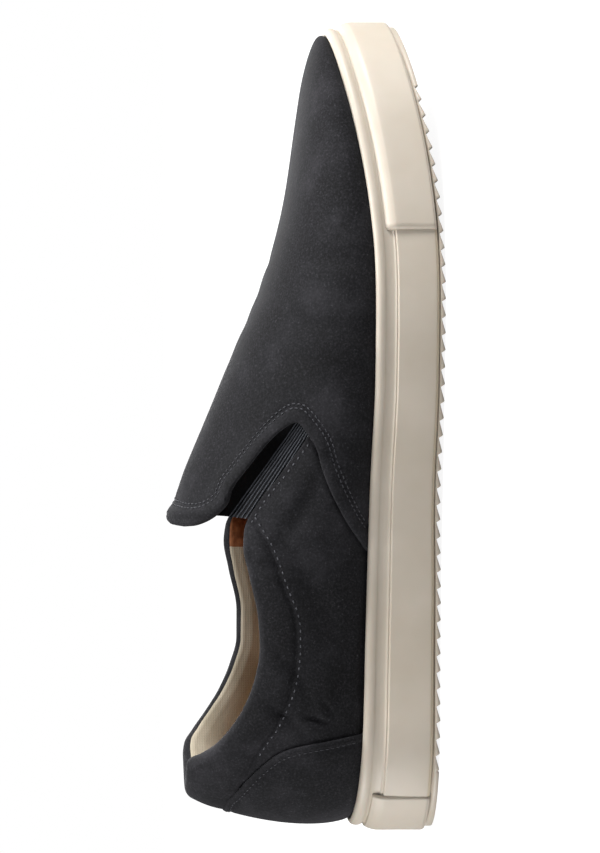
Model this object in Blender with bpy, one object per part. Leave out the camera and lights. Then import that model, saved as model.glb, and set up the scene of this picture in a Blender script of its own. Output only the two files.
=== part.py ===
"""Slip-on sneaker for the right foot, standing empty on its sole.

Frame: +X towards the toe, +Y towards the inner (medial) side, +Z up. The origin is at the middle of the
shoe's plan box, on the floor. Lengths are metres. Shares of length run from 0 at the heel to 1 at the toe.
"""

import math

import bmesh
import bpy
import numpy as np

MM = 0.001

# Driving sizes
SOLE_LENGTH = 297.8 * MM
BALL_WIDTH = 100.8 * MM
HEEL_WIDTH = 75.2 * MM
INSTEP_HEIGHT = 97 * MM
BACK_HEIGHT = 92 * MM
COLLAR_HEIGHT = 66 * MM
RIM_HEIGHT = 24.5 * MM
TOE_SPRING = 14 * MM

# Clearance between pieces, and their walls and layers
GAP = 0.3 * MM
UPPER_WALL = 1.8 * MM
VAMP_STEP = 0.9 * MM
VAMP_LAYER = 2.0 * MM
VAMP_LIFT = 4 * MM
COLLAR_SWELL = 0.5 * MM
COLLAR_PAD = 6 * MM
COLLAR_BAND = 13.5 * MM
COUNTER_WALL = 0.7 * MM
FEATHER_GAP = GAP + max(VAMP_STEP, GAP + COUNTER_WALL)
GORE_WALL = 1.0 * MM
GORE_LAP = 5 * MM

# Where the elastic and the padded band lie: shares of length, and of the instep's height
SLOT_SLOPE = math.radians(52)
SLOT_FRONT = 0.507
SLOT_TOP = 0.52
GORE_REAR = 0.400
GORE_TOP = 0.82
BAND_FRONT = 0.374

# Tread: cross teeth that rise gently to the rear and drop back sharply, between two plain ends
TOOTH_PITCH = 6 * MM
TOOTH_DEPTH = 1.5 * MM
TOOTH_LAND = 1.2 * MM
TOOTH_RETURN = 0.8 * MM
TEETH_START = 0.08
TEETH_END = 0.913
TREAD_TOP = 2.1 * MM
TREAD_INSET = 0.5 * MM
TREAD_SINK = 0.2 * MM
BASE_TOP = 3.9 * MM
BASE_INSET = 2.5 * MM
TIP_ANGLES = (3, 7, 11, 15, 19, 23)

# Cup, footbed and the two rubber strips
LIP_INSET = 2.2 * MM
LIP_EDGE = 0.3 * MM
RIM_LEDGE = 4.2 * MM
HEEL_FLOOR = 13 * MM
FOREFOOT_FLOOR = 8 * MM
FLOOR_START = 0.15
FLOOR_RUN = 0.45
INSOLE_THICK = 5 * MM
INSOLE_EDGE = 1.2 * MM
BUMPER_WALL = 1.0 * MM
BUMPER_START = 0.735
HEEL_STRIP_WALL = 0.6 * MM
HEEL_STRIP_END = 0.048
STRIP_BOTTOM = 0.12
STRIP_TOP = 0.84
STRIP_ROUND = 0.03

# Plan of the sole: where each side is widest, and the half widths between as shares of the ball width
HEEL_WIDEST = 0.155
MEDIAL_BALL = 0.73
LATERAL_BALL = 0.65
BALL_FLAT = 0.02
MEDIAL_SHARE = 0.461
MEDIAL_TOE_POWER = 2.1
LATERAL_TOE_POWER = 1.88
WAIST_COLUMNS = ("share", "medial", "lateral")
WAIST = (
    (0.26, 0.345, 0.382),
    (0.36, 0.328, 0.416),
    (0.45, 0.350, 0.463),
    (0.54, 0.396, 0.506),
)

# Side line of the sole: rim height as a share of RIM_HEIGHT, and the underside's lift at waist and toe
RIM_COLUMNS = ("share", "rise")
RIM = (
    (0.0, 1.24),
    (0.05, 1.18),
    (0.12, 1.14),
    (0.30, 1.09),
    (0.42, 1.035),
    (0.58, 1.01),
    (0.70, 1.015),
    (0.77, 1.035),
    (0.86, 1.06),
    (0.92, 1.07),
    (1.0, 1.045),
)
WAIST_LIFT = 0.8 * MM
WAIST_MIDDLE = 0.42
WAIST_REACH = 0.14
SPRING_START = 0.66
SPRING_POWER = 2.0

# Wall of the sole from the bottom to the rim: height as a share of the rim's, and inset from the outline
WALL_COLUMNS = ("rise", "inset")
WALL = (
    (0.16, 0.0),
    (0.66, 0.45 * MM),
    (0.70, 0.7 * MM),
    (0.71, 1.3 * MM),
    (0.855, 1.6 * MM),
    (0.87, 1.2 * MM),
    (0.93, 1.1 * MM),
    (0.985, 1.8 * MM),
    (1.0, 2.8 * MM),
)

# Last: ridge height and side offset, swell of both sides, and fullness of the section, along the length
LAST_COLUMNS = ("share", "ridge", "offset", "medial", "lateral", "full")
LAST = (
    (0.00, 1.30, -0.03, 3.2 * MM, 3.2 * MM, 2.0),
    (0.10, 1.32, -0.03, 4.2 * MM, 5.0 * MM, 2.0),
    (0.20, 1.42, -0.03, 6.5 * MM, 7.0 * MM, 2.3),
    (0.28, 1.40, -0.03, 8.5 * MM, 8.0 * MM, 2.3),
    (0.34, 1.20, -0.03, 10.0 * MM, 8.5 * MM, 2.2),
    (0.392, 1.00, -0.03, 11.0 * MM, 8.5 * MM, 2.0),
    (0.45, 0.928, -0.025, 11.0 * MM, 7.5 * MM, 1.95),
    (0.526, 0.830, -0.02, 9.0 * MM, 5.5 * MM, 1.95),
    (0.59, 0.750, -0.01, 7.0 * MM, 4.0 * MM, 2.05),
    (0.656, 0.664, 0.0, 6.0 * MM, 3.0 * MM, 2.15),
    (0.732, 0.586, 0.01, 4.0 * MM, 2.0 * MM, 2.25),
    (0.80, 0.541, 0.01, 2.2 * MM, 2.8 * MM, 2.3),
    (0.887, 0.508, 0.01, 1.4 * MM, 3.2 * MM, 2.4),
    (0.94, 0.495, 0.0, 1.2 * MM, 2.6 * MM, 2.4),
    (1.00, 0.468, 0.0, 0.4 * MM, 0.4 * MM, 2.4),
)
SWELL_REACH = 70 * MM
SWELL_POWER = 0.6
SPINE_FRONT = 0.60
SPINE_REAR = 0.33
SPINE_DRAW = 0.42

# Tongue's edge from the side, from its end down to the slot's point. Heights are shares of the instep's,
# and the medial shift is how much further forward that side runs
TONGUE_COLUMNS = ("share", "lateral", "medial", "medial_shift")
TONGUE_EDGE = (
    (0.392, 0.990, 1.000, 0.004),
    (0.380, 0.970, 0.985, 0.008),
    (0.375, 0.930, 0.940, 0.014),
    (0.376, 0.895, 0.900, 0.018),
    (0.386, 0.850, 0.855, 0.012),
    (0.400, 0.805, 0.812, 0.006),
    (0.425, 0.765, 0.772, 0.0),
    (0.457, 0.692, 0.700, 0.0),
    (0.480, 0.640, 0.648, 0.0),
    (0.495, 0.600, 0.608, 0.0),
    (0.505, 0.560, 0.568, 0.0),
    (0.507, 0.530, 0.538, 0.0),
    (0.502, 0.512, 0.520, 0.0),
    (0.490, 0.505, 0.513, 0.0),
)
# Upper edge of the quarters, from the slot back round the heel, as a share of the collar's height
COLLAR_COLUMNS = ("share", "lateral", "medial")
COLLAR = (
    (0.396, 1.050, 1.100),
    (0.376, 1.085, 1.150),
    (0.355, 1.088, 1.155),
    (0.320, 1.055, 1.125),
    (0.265, 1.003, 1.075),
    (0.230, 0.995, 1.075),
    (0.195, 1.020, 1.115),
    (0.165, 1.065, 1.170),
    (0.125, 1.155, 1.265),
    (0.095, 1.240, 1.340),
    (0.070, 1.330, 1.390),
    (0.050, 1.394, 1.394),
    (-0.02, 1.394, 1.394),
)
# Rear edge of the vamp's wing, from the slot's top down into the sole
WING_COLUMNS = ("share", "height")
WING = (
    (0.500, 0.515),
    (0.478, 0.470),
    (0.446, 0.440),
    (0.415, 0.400),
    (0.385, 0.350),
    (0.362, 0.300),
    (0.350, 0.240),
    (0.350, 0.180),
)
TONGUE_END = 0.33
VAMP_COVER = 1.15
VAMP_FLOOR = (1.05, 0.94, 0.86, 0.76, 0.60)

# Upper edge of the heel counter, as a share of the back's height
COUNTER_COLUMNS = ("share", "height")
COUNTER = (
    (0.128, 0.22),
    (0.128, 0.28),
    (0.120, 0.42),
    (0.108, 0.60),
    (0.086, 0.70),
    (0.055, 0.785),
    (0.030, 0.830),
    (-0.05, 0.830),
)

# Extent of the cutting tools, and where the two side profiles of the opening start to blend
FAR_Y = BALL_WIDTH
MIDDLE_Y = 0.2 * BALL_WIDTH
CLEAR_HEIGHT = 2 * INSTEP_HEIGHT
CLEAR_REAR = -0.02

# Mesh density, and the angle from which an edge stays crisp
STATIONS = 40
ARC_STEPS = 10
MERGE = 0.004 * MM
CRISP_ANGLE = math.radians(38)

# Finishes: sRGB colour, roughness, metallic
SUEDE = ((0.115, 0.115, 0.130), 0.92, 0.0)
RUBBER = ((0.82, 0.77, 0.69), 0.55, 0.0)
LEATHER = ((0.42, 0.22, 0.14), 0.55, 0.0)
ELASTIC = ((0.05, 0.05, 0.055), 0.85, 0.0)


def table_value(rows, columns, name, share):
    """Value of one column of a table at a share of the length, by a cubic that stays within its rows."""
    x = np.array([row[0] for row in rows], float)
    y = np.array([row[columns.index(name)] for row in rows], float)
    step, slope = np.diff(x), np.diff(y) / np.diff(x)
    tangent = np.zeros(len(x))
    for i in range(1, len(x) - 1):
        if slope[i - 1] * slope[i] > 0:
            before, after = 2 * step[i] + step[i - 1], step[i] + 2 * step[i - 1]
            tangent[i] = (before + after) / (before / slope[i - 1] + after / slope[i])
    tangent[0], tangent[-1] = slope[0], slope[-1]
    at = np.clip(np.asarray(share, float), x[0], x[-1])
    i = np.clip(np.searchsorted(x, at) - 1, 0, len(step) - 1)
    s = (at - x[i]) / step[i]
    return (
        y[i] * (1 + 2 * s) * (1 - s) ** 2
        + tangent[i] * step[i] * s * (1 - s) ** 2
        + y[i + 1] * s * s * (3 - 2 * s)
        + tangent[i + 1] * step[i] * s * s * (s - 1)
    )


def half_width(side, share):
    """Half width of the sole's plan on one side, at a share of the length."""
    ball_share = MEDIAL_SHARE if side == "medial" else 1 - MEDIAL_SHARE
    ball = MEDIAL_BALL if side == "medial" else LATERAL_BALL
    power = MEDIAL_TOE_POWER if side == "medial" else LATERAL_TOE_POWER
    column = 1 + ("medial", "lateral").index(side)
    heel = HEEL_WIDTH / 2 / BALL_WIDTH
    rows = [(HEEL_WIDEST - BALL_FLAT, heel), (HEEL_WIDEST, heel)]
    rows += [(row[0], row[column]) for row in WAIST]
    rows += [(ball, ball_share), (ball + BALL_FLAT, ball_share)]
    width = table_value(rows, ("share", "width"), "width", share)
    heel_run = np.clip((HEEL_WIDEST - share) / HEEL_WIDEST, 0, 1)
    toe_run = np.clip((share - ball) / (1 - ball), 0, 1)
    rounding = np.sqrt(1 - heel_run**2) * (1 - toe_run**power) ** (1 / power)
    return width * rounding * BALL_WIDTH


def ring_shares():
    """Shares of length round a closed ring: heel, lateral side, toe, and back along the medial side."""
    one_way = 0.5 * (1 - np.cos(np.pi * np.arange(STATIONS + 1) / STATIONS))
    return np.concatenate([one_way, one_way[-2:0:-1]])


def outline():
    """The sole's plan as a closed ring of points, the box of its plan centred on the origin."""
    share = ring_shares()
    lateral = half_width("lateral", share)
    medial = half_width("medial", share)
    y = np.where(np.arange(len(share)) <= STATIONS, -lateral, medial)
    return np.column_stack([(share - 0.5) * SOLE_LENGTH, y - (y.max() + y.min()) / 2])


def outward(ring):
    """Unit normals of a ring in plan, pointing away from the shoe."""
    ahead = np.roll(ring, -1, axis=0) - np.roll(ring, 1, axis=0)
    normal = np.column_stack([ahead[:, 1], -ahead[:, 0]])
    return normal / np.linalg.norm(normal, axis=1)[:, None]


PLAN = outline()
PLAN_NORMAL = outward(PLAN)
SHARE = ring_shares()
IS_MEDIAL = np.arange(len(SHARE)) > STATIONS


def inset(distance):
    """The outline drawn in by a distance, which may differ from point to point."""
    return PLAN - PLAN_NORMAL * np.reshape(distance, (-1, 1))


def spring(share):
    """Height of the tread's underside: flat at heel and ball, lifted at the waist and up to the toe."""
    rise = np.clip((np.asarray(share, float) - SPRING_START) / (1 - SPRING_START), 0, 1)
    from_waist = np.abs(np.asarray(share, float) - WAIST_MIDDLE)
    waist = np.clip(1 - from_waist / WAIST_REACH, 0, 1)
    return TOE_SPRING * rise**SPRING_POWER + WAIST_LIFT * waist * waist * (3 - 2 * waist)


def rim_rise(share):
    """Height of the rim above the tread's underside."""
    return RIM_HEIGHT * table_value(RIM, RIM_COLUMNS, "rise", share)


def cup_floor(share):
    """Height of the floor inside the cup above the tread's underside."""
    ease = np.clip((np.asarray(share, float) - FLOOR_START) / FLOOR_RUN, 0, 1)
    return HEEL_FLOOR + (FOREFOOT_FLOOR - HEEL_FLOOR) * ease * ease * (3 - 2 * ease)


def share_at(x):
    """Share of the length at a station."""
    return np.asarray(x) / SOLE_LENGTH + 0.5


def ring_at(plan, rise):
    """A plan ring lifted to a height above the tread's underside, given for each point's own station."""
    return np.column_stack([plan, spring(SHARE) + rise])


def last_ring(angle):
    """A ring of the last: angle 0 is the feather line at the rim, a quarter turn is the ridge."""
    feather = inset(RIM_LEDGE + FEATHER_GAP)
    share = share_at(feather[:, 0])
    low = spring(SHARE) + rim_rise(SHARE)
    mirror = (-np.arange(len(SHARE))) % len(SHARE)
    station = (feather[:, 0] + feather[mirror, 0]) / 2
    run = share_at(station)
    first, final = run.min(), run.max()
    ahead = np.clip((run - SPINE_FRONT) / (final - SPINE_FRONT), 0, 1)
    behind = np.clip((SPINE_REAR - run) / (SPINE_REAR - first), 0, 1)
    spine = run - SPINE_DRAW * ahead**2 * (final - SPINE_FRONT)
    spine += SPINE_DRAW * behind**2 * (SPINE_REAR - first)
    offset = table_value(LAST, LAST_COLUMNS, "offset", spine) * BALL_WIDTH
    peak = np.column_stack([(spine - 0.5) * SOLE_LENGTH, offset])
    power = 2 / table_value(LAST, LAST_COLUMNS, "full", run)
    if angle >= math.pi / 2:
        inward, climb = np.ones(len(share)), np.ones(len(share))
    else:
        inward, climb = 1 - math.cos(angle) ** power, math.sin(angle) ** power
    plan = feather + (peak - feather) * inward[:, None]
    ridge = table_value(LAST, LAST_COLUMNS, "ridge", share_at(plan[:, 0])) * INSTEP_HEIGHT
    height = low + (ridge - low) * climb
    swell = np.where(
        IS_MEDIAL,
        table_value(LAST, LAST_COLUMNS, "medial", share),
        table_value(LAST, LAST_COLUMNS, "lateral", share),
    )
    reach = np.clip((height - low) / np.minimum(SWELL_REACH, ridge - low), 0, 1)
    plan = plan + PLAN_NORMAL * (swell * np.sin(np.pi * reach**SWELL_POWER))[:, None]
    return np.column_stack([plan, height])


def material(name, finish):
    colour, roughness, metallic = finish
    made = bpy.data.materials.new(name)
    made.use_nodes = True
    shader = made.node_tree.nodes["Principled BSDF"]
    linear = [((c + 0.055) / 1.055) ** 2.4 if c > 0.04045 else c / 12.92 for c in colour]
    shader.inputs["Base Color"].default_value = (*linear, 1)
    shader.inputs["Roughness"].default_value = roughness
    shader.inputs["Metallic"].default_value = metallic
    made.diffuse_color = (*linear, 1)
    return made


def mesh_object(name, points, faces, finish=None):
    mesh = bpy.data.meshes.new(name)
    mesh.from_pydata([tuple(p) for p in points], [], [tuple(f) for f in faces])
    mesh.validate()
    made = bpy.data.objects.new(name, mesh)
    bpy.context.scene.collection.objects.link(made)
    if finish:
        made.data.materials.append(finish)
    return made


def outward_faces(made):
    """Points the faces of a closed mesh outwards."""
    shape = bmesh.new()
    shape.from_mesh(made.data)
    bmesh.ops.recalc_face_normals(shape, faces=shape.faces)
    shape.to_mesh(made.data)
    shape.free()


def band_faces(count, rows, closed=True):
    """Quads between rows of points, each row as long as the others."""
    faces = []
    for row in range(rows - 1):
        for i in range(count if closed else count - 1):
            j = (i + 1) % count
            faces.append((row * count + i, row * count + j, (row + 1) * count + j, (row + 1) * count + i))
    return faces


def cap_faces(start):
    """Faces across a ring, from each lateral point to the medial point of its station."""
    count = 2 * STATIONS
    faces = []
    for k in range(STATIONS):
        corners = [k, k + 1, (count - k - 1) % count, (count - k) % count]
        distinct = list(dict.fromkeys(corners))
        faces.append(tuple(start + c for c in distinct))
    return faces


def ring_solid(name, rings, finish):
    """A closed solid through rings, with a cap across the first and the last."""
    count = 2 * STATIONS
    faces = band_faces(count, len(rings)) + cap_faces(0) + cap_faces(count * (len(rings) - 1))
    made = mesh_object(name, np.concatenate(rings), faces, finish)
    outward_faces(made)
    return made


def boolean(target, other, operation):
    """Applies a Boolean at once and removes the tool."""
    modifier = target.modifiers.new(operation.title(), "BOOLEAN")
    modifier.operation = operation
    modifier.object = other
    modifier.solver = "EXACT"
    graph = bpy.context.evaluated_depsgraph_get()
    result = bpy.data.meshes.new_from_object(target.evaluated_get(graph))
    target.modifiers.clear()
    shape = bmesh.new()
    shape.from_mesh(result)
    bmesh.ops.remove_doubles(shape, verts=shape.verts, dist=MERGE)
    bmesh.ops.dissolve_degenerate(shape, edges=shape.edges, dist=MERGE)
    shape.to_mesh(result)
    shape.free()
    target.data = result
    bpy.data.objects.remove(other)


def layer(name, outer, inner, finish=None):
    """A shell that follows the last, from a distance outside its surface to a distance inside it."""
    angles = [math.pi / 2 * step / ARC_STEPS for step in range(ARC_STEPS + 1)]
    rings = [last_ring(angle) for angle in angles]
    bottom = rings[0].copy()
    bottom[:, 2] = spring(SHARE) + cup_floor(SHARE) + GAP
    rings.insert(0, bottom)
    count = 2 * STATIONS
    faces = band_faces(count, len(rings))
    surface = mesh_object(name, np.concatenate(rings), faces, finish)
    shape = bmesh.new()
    shape.from_mesh(surface.data)
    shape.verts.ensure_lookup_table()
    top = count * (len(rings) - 1)
    pairs = {shape.verts[top + count - k]: shape.verts[top + k] for k in range(1, STATIONS)}
    bmesh.ops.weld_verts(shape, targetmap=pairs)
    bmesh.ops.recalc_face_normals(shape, faces=shape.faces)
    highest = max(shape.faces, key=lambda f: f.calc_center_median().z)
    if highest.normal.z < 0:
        bmesh.ops.reverse_faces(shape, faces=shape.faces)
    shape.normal_update()
    shape.to_mesh(surface.data)
    shape.free()
    solidify = surface.modifiers.new("Wall", "SOLIDIFY")
    solidify.thickness = outer + inner
    solidify.offset = (outer - inner) / (outer + inner)
    solidify.use_even_offset = False
    graph = bpy.context.evaluated_depsgraph_get()
    result = bpy.data.meshes.new_from_object(surface.evaluated_get(graph))
    surface.modifiers.clear()
    surface.data = result
    return surface


def prism(name, profiles, levels):
    """A closed tool through side profiles, each a list of (x, z), placed at its own y."""
    points = [(x, y, z) for profile, y in zip(profiles, levels) for x, z in profile]
    count = len(profiles[0])
    faces = band_faces(count, len(profiles))
    faces += [tuple(range(count)), tuple(range(count * (len(profiles) - 1), count * len(profiles)))]
    made = mesh_object(name, points, faces)
    outward_faces(made)
    return made


def side_x(share):
    """Station at a share of the length."""
    return (share - 0.5) * SOLE_LENGTH


def opening_profile(side):
    """The opening's outline from the side: tongue's end, slot, collar and the space above."""
    profile = []
    for share, lateral, medial, shift in TONGUE_EDGE:
        if side == "medial":
            profile.append((side_x(share + shift), medial * INSTEP_HEIGHT))
        else:
            profile.append((side_x(share), lateral * INSTEP_HEIGHT))
    column = COLLAR_COLUMNS.index(side)
    collar = [(side_x(row[0]), row[column] * COLLAR_HEIGHT) for row in COLLAR]
    return [(profile[0][0], CLEAR_HEIGHT)] + profile + collar + [(side_x(CLEAR_REAR), CLEAR_HEIGHT)]


def opening_tool():
    """The opening as a tool: the lateral profile blends into the medial one across the middle."""
    lateral, medial = opening_profile("lateral"), opening_profile("medial")
    return prism("opening", [lateral, lateral, medial, medial], [-FAR_Y, -MIDDLE_Y, MIDDLE_Y, FAR_Y])


def straight_tool(name, profile, low_y=-FAR_Y, high_y=FAR_Y):
    return prism(name, [profile, profile], [low_y, high_y])


def vamp_profile():
    """All in front of the wing's rear edge and of the slot, tongue included, from just above the floor."""
    edge = [(side_x(share), height * INSTEP_HEIGHT) for share, height in WING[::-1]]
    low = [(side_x(share), float(spring(share) + cup_floor(share)) + VAMP_LIFT) for share in VAMP_FLOOR]
    rear = side_x(TONGUE_END)
    above = [(rear, WING[0][1] * INSTEP_HEIGHT * VAMP_COVER), (rear, CLEAR_HEIGHT)]
    return edge + above + [(side_x(VAMP_FLOOR[0]), CLEAR_HEIGHT)] + low


def band_profile():
    """The padded band below the collar's edge, seen from the side. It starts behind the elastic."""
    shares = [BAND_FRONT] + [row[0] for row in COLLAR if row[0] < BAND_FRONT]
    rows = COLLAR[::-1]
    heights = [float(table_value(rows, COLLAR_COLUMNS, "lateral", share)) for share in shares]
    low = [(side_x(at), height * COLLAR_HEIGHT - COLLAR_BAND) for at, height in zip(shares, heights)]
    return [(side_x(shares[0]), CLEAR_HEIGHT)] + low + [(side_x(shares[-1]), CLEAR_HEIGHT)]


def counter_profile():
    """The heel counter's outline from the side, open to the rear."""
    edge = [(side_x(share), height * BACK_HEIGHT) for share, height in COUNTER]
    return edge + [(side_x(COUNTER[-1][0]), COUNTER[0][1] * BACK_HEIGHT)]


def gore_profile(side):
    """The elastic's outline from the side: the slot, with a lap under the flap and under the quarter."""
    column = TONGUE_COLUMNS.index(side)
    run, rise = GORE_LAP * math.cos(SLOT_SLOPE), GORE_LAP * math.sin(SLOT_SLOPE)
    flap = [row for row in TONGUE_EDGE if GORE_REAR <= row[0] and row[1] < GORE_TOP]
    over = [row for row in flap if row[1] > SLOT_TOP]
    above = [(side_x(row[0]) + run, row[column] * INSTEP_HEIGHT + rise) for row in over]
    apex = (side_x(SLOT_FRONT) + GORE_LAP, SLOT_TOP * INSTEP_HEIGHT)
    slot_height = TONGUE_EDGE[-1][column] * INSTEP_HEIGHT - rise
    below = [(side_x(share) - run, slot_height) for share in (SLOT_FRONT, TONGUE_EDGE[-1][0])]
    collar_front = COLLAR[0][column] * COLLAR_HEIGHT
    corner = (side_x(COLLAR[0][0]) - run, collar_front - rise)
    rear = (side_x(GORE_REAR) - run / 2, (flap[0][column] * INSTEP_HEIGHT + collar_front) / 2)
    return above + [apex] + below + [corner, rear]


def build_sole(rubber):
    """The cup: a lip over the tread's edge, the stepped wall up to the rim, and the floor inside."""
    lip = TREAD_TOP + GAP
    rings = [
        ring_at(inset(LIP_INSET), BASE_TOP + GAP),
        ring_at(inset(LIP_INSET), lip),
        ring_at(inset(LIP_EDGE), lip),
    ]
    rings += [ring_at(inset(row[1]), row[0] * rim_rise(SHARE)) for row in WALL]
    rings += [
        ring_at(inset(RIM_LEDGE), rim_rise(SHARE)),
        ring_at(inset(RIM_LEDGE), cup_floor(SHARE)),
    ]
    ring_solid("cupsole", rings, rubber)


def wall_inset(rise):
    return float(np.interp(rise, [row[0] for row in WALL], [row[1] for row in WALL]))


def strip(name, indices, wall, finish):
    """A rubber strip wrapped round one end of the sole. It fills the groove as far up as it goes."""
    inner = [STRIP_BOTTOM] + [row[0] for row in WALL if STRIP_BOTTOM < row[0] < STRIP_TOP] + [STRIP_TOP]
    section = [(rise, wall_inset(rise) - GAP) for rise in inner]
    face = -GAP - wall
    section += [
        (STRIP_TOP, wall_inset(STRIP_TOP) - GAP - wall),
        (STRIP_TOP - STRIP_ROUND, face + wall),
        (STRIP_TOP - 2 * STRIP_ROUND, face + wall / 4),
        (STRIP_TOP - 3.5 * STRIP_ROUND, face),
        (STRIP_BOTTOM + STRIP_ROUND, face),
        (STRIP_BOTTOM, face + wall / 3),
    ]
    points = []
    for i in indices:
        for rise, depth in section:
            place = PLAN[i] - PLAN_NORMAL[i] * depth
            points.append((*place, float(spring(SHARE[i]) + rise * rim_rise(SHARE[i]))))
    count, rows = len(section), len(indices)
    faces = band_faces(count, rows) + [tuple(range(count)), tuple(range(count * (rows - 1), count * rows))]
    outward_faces(mesh_object(name, points, faces, finish))


def edge_y(side, distance, x):
    """Side offset of the outline, drawn in by a distance, where it crosses a station."""
    ring = inset(distance)
    lateral, medial = ring[: STATIONS + 1], np.concatenate([ring[STATIONS:], ring[:1]])[::-1]
    chosen = lateral if side == "lateral" else medial
    return float(np.interp(x, chosen[:, 0], chosen[:, 1]))


def tooth_line():
    """Underside of the tread along the length: (x, height above the underside), plain at both ends."""
    start, end = side_x(TEETH_START), side_x(TEETH_END)
    count = round((end - start) / TOOTH_PITCH)
    pitch = (end - start) / count
    tips = []
    for i in range(count):
        rear = start + i * pitch
        tips += [(rear, TOOTH_DEPTH), (rear + TOOTH_RETURN, 0.0), (rear + TOOTH_RETURN + TOOTH_LAND, 0.0)]
    half = SOLE_LENGTH / 2 - TREAD_INSET
    ends = [half * math.cos(math.radians(angle)) for angle in TIP_ANGLES]
    rear_tip = [(x, 0.0) for x in (-e for e in ends) if x < start - TOOTH_PITCH / 4]
    front_tip = [(x, 0.0) for x in ends[::-1] if x > end + TOOTH_PITCH / 4]
    rear_land = [(start - TOOTH_PITCH / 4, 0.0)]
    front_land = [(end, TOOTH_DEPTH / 3), (end + TOOTH_PITCH / 4, 0.0)]
    return rear_tip + rear_land + tips + front_land + front_tip


def build_outsole(rubber):
    """The tread plate with its cross teeth, and the base above it that fills the cup's underside."""
    points = []
    for x, lift in tooth_line():
        low = spring(share_at(x)) + lift
        high = spring(share_at(x)) + TREAD_TOP
        left, right = edge_y("lateral", TREAD_INSET, x), edge_y("medial", TREAD_INSET, x)
        points += [(x, left, low), (x, right, low), (x, right, high), (x, left, high)]
    rows = len(points) // 4
    faces = band_faces(4, rows) + [(0, 1, 2, 3), tuple(range(4 * rows - 4, 4 * rows))]
    tread = mesh_object("outsole", points, faces, rubber)
    outward_faces(tread)
    levels = (TREAD_TOP - TREAD_SINK, BASE_TOP)
    base = ring_solid("base", [ring_at(inset(BASE_INSET), level) for level in levels], rubber)
    boolean(tread, base, "UNION")


def build_insole(leather):
    """The footbed on the cup's floor, inside the upper's wall, with a rounded upper edge."""
    plan = RIM_LEDGE + FEATHER_GAP + UPPER_WALL + GAP
    low = cup_floor(SHARE) + GAP
    top = low + INSOLE_THICK
    rings = [
        ring_at(inset(plan), low),
        ring_at(inset(plan), top - INSOLE_EDGE),
        ring_at(inset(plan + INSOLE_EDGE / 3), top - INSOLE_EDGE / 3),
        ring_at(inset(plan + INSOLE_EDGE), top),
    ]
    ring_solid("insole", rings, leather)


def shade(made):
    """Smooth shading, with the crisp edges kept."""
    made.data.polygons.foreach_set("use_smooth", [True] * len(made.data.polygons))
    made.data.set_sharp_from_angle(angle=CRISP_ANGLE)


def build_strips(rubber):
    """The toe bumper and the heel strip, each over its own stretch of the ring."""
    toe = [i for i in range(2 * STATIONS) if SHARE[i] >= BUMPER_START]
    heel = [i for i in range(-STATIONS, STATIONS) if SHARE[i] <= HEEL_STRIP_END]
    strip("toe_bumper", toe, BUMPER_WALL, rubber)
    strip("heel_strip", heel, HEEL_STRIP_WALL, rubber)


def build_upper(suede):
    """The upper: the lasted wall, the vamp's second layer and the padded band, with the opening cut."""
    upper = layer("upper", 0.0, UPPER_WALL, suede)
    vamp = layer("vamp", VAMP_STEP, VAMP_LAYER - VAMP_STEP)
    boolean(vamp, straight_tool("vamp_tool", vamp_profile()), "INTERSECT")
    boolean(upper, vamp, "UNION")
    band = layer("band", COLLAR_SWELL, COLLAR_PAD)
    boolean(band, straight_tool("band_tool", band_profile()), "INTERSECT")
    boolean(upper, band, "UNION")
    boolean(upper, opening_tool(), "DIFFERENCE")


def build_counter(suede):
    """The second layer of nubuck round the heel."""
    counter = layer("heel_counter", GAP + COUNTER_WALL, -GAP, suede)
    boolean(counter, straight_tool("counter_tool", counter_profile()), "INTERSECT")


def build_gores(elastic):
    """The two elastics inside the upper's wall, behind the slots."""
    for side, low, high in (("lateral", -FAR_Y, -MIDDLE_Y), ("medial", MIDDLE_Y, FAR_Y)):
        gore = layer("gore_" + side, -UPPER_WALL - GAP, UPPER_WALL + GAP + GORE_WALL, elastic)
        boolean(gore, straight_tool("gore_tool", gore_profile(side), low, high), "INTERSECT")


def main():
    for obj in list(bpy.data.objects):
        bpy.data.objects.remove(obj)
    suede = material("suede_black", SUEDE)
    rubber = material("rubber_cream", RUBBER)
    leather = material("leather_brown", LEATHER)
    elastic = material("elastic_black", ELASTIC)
    build_outsole(rubber)
    build_sole(rubber)
    build_strips(rubber)
    build_insole(leather)
    build_upper(suede)
    build_counter(suede)
    build_gores(elastic)
    for obj in bpy.data.objects:
        shade(obj)


main()
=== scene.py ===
"""Looks of the black slip-on sneaker with the cream cupsole: panels, seams, linings, rubber and floor."""

import math

import bmesh
import bpy
import numpy as np
from mathutils import Matrix, Vector


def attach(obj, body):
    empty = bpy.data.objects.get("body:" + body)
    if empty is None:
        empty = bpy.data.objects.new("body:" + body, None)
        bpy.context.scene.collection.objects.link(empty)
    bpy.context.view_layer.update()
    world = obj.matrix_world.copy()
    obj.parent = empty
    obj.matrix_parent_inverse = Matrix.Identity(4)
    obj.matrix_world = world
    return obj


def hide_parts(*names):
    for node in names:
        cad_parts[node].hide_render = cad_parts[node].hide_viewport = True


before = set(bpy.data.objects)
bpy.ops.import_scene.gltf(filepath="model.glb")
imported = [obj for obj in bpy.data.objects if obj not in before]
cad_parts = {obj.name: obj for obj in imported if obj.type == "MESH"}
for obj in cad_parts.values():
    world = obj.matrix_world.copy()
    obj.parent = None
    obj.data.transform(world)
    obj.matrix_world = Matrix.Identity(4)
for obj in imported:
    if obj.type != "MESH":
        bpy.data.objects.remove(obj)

bl_info = {
    "name": "Slip-on sneaker",
    "version": (1, 0, 0),
    "blender": (4, 5, 0),
    "location": "3D View > Sidebar > Sneaker",
    "description": "Makes the visible pieces of a slip-on sneaker, one button for each",
    "category": "Object",
}

MM = 0.001

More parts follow.
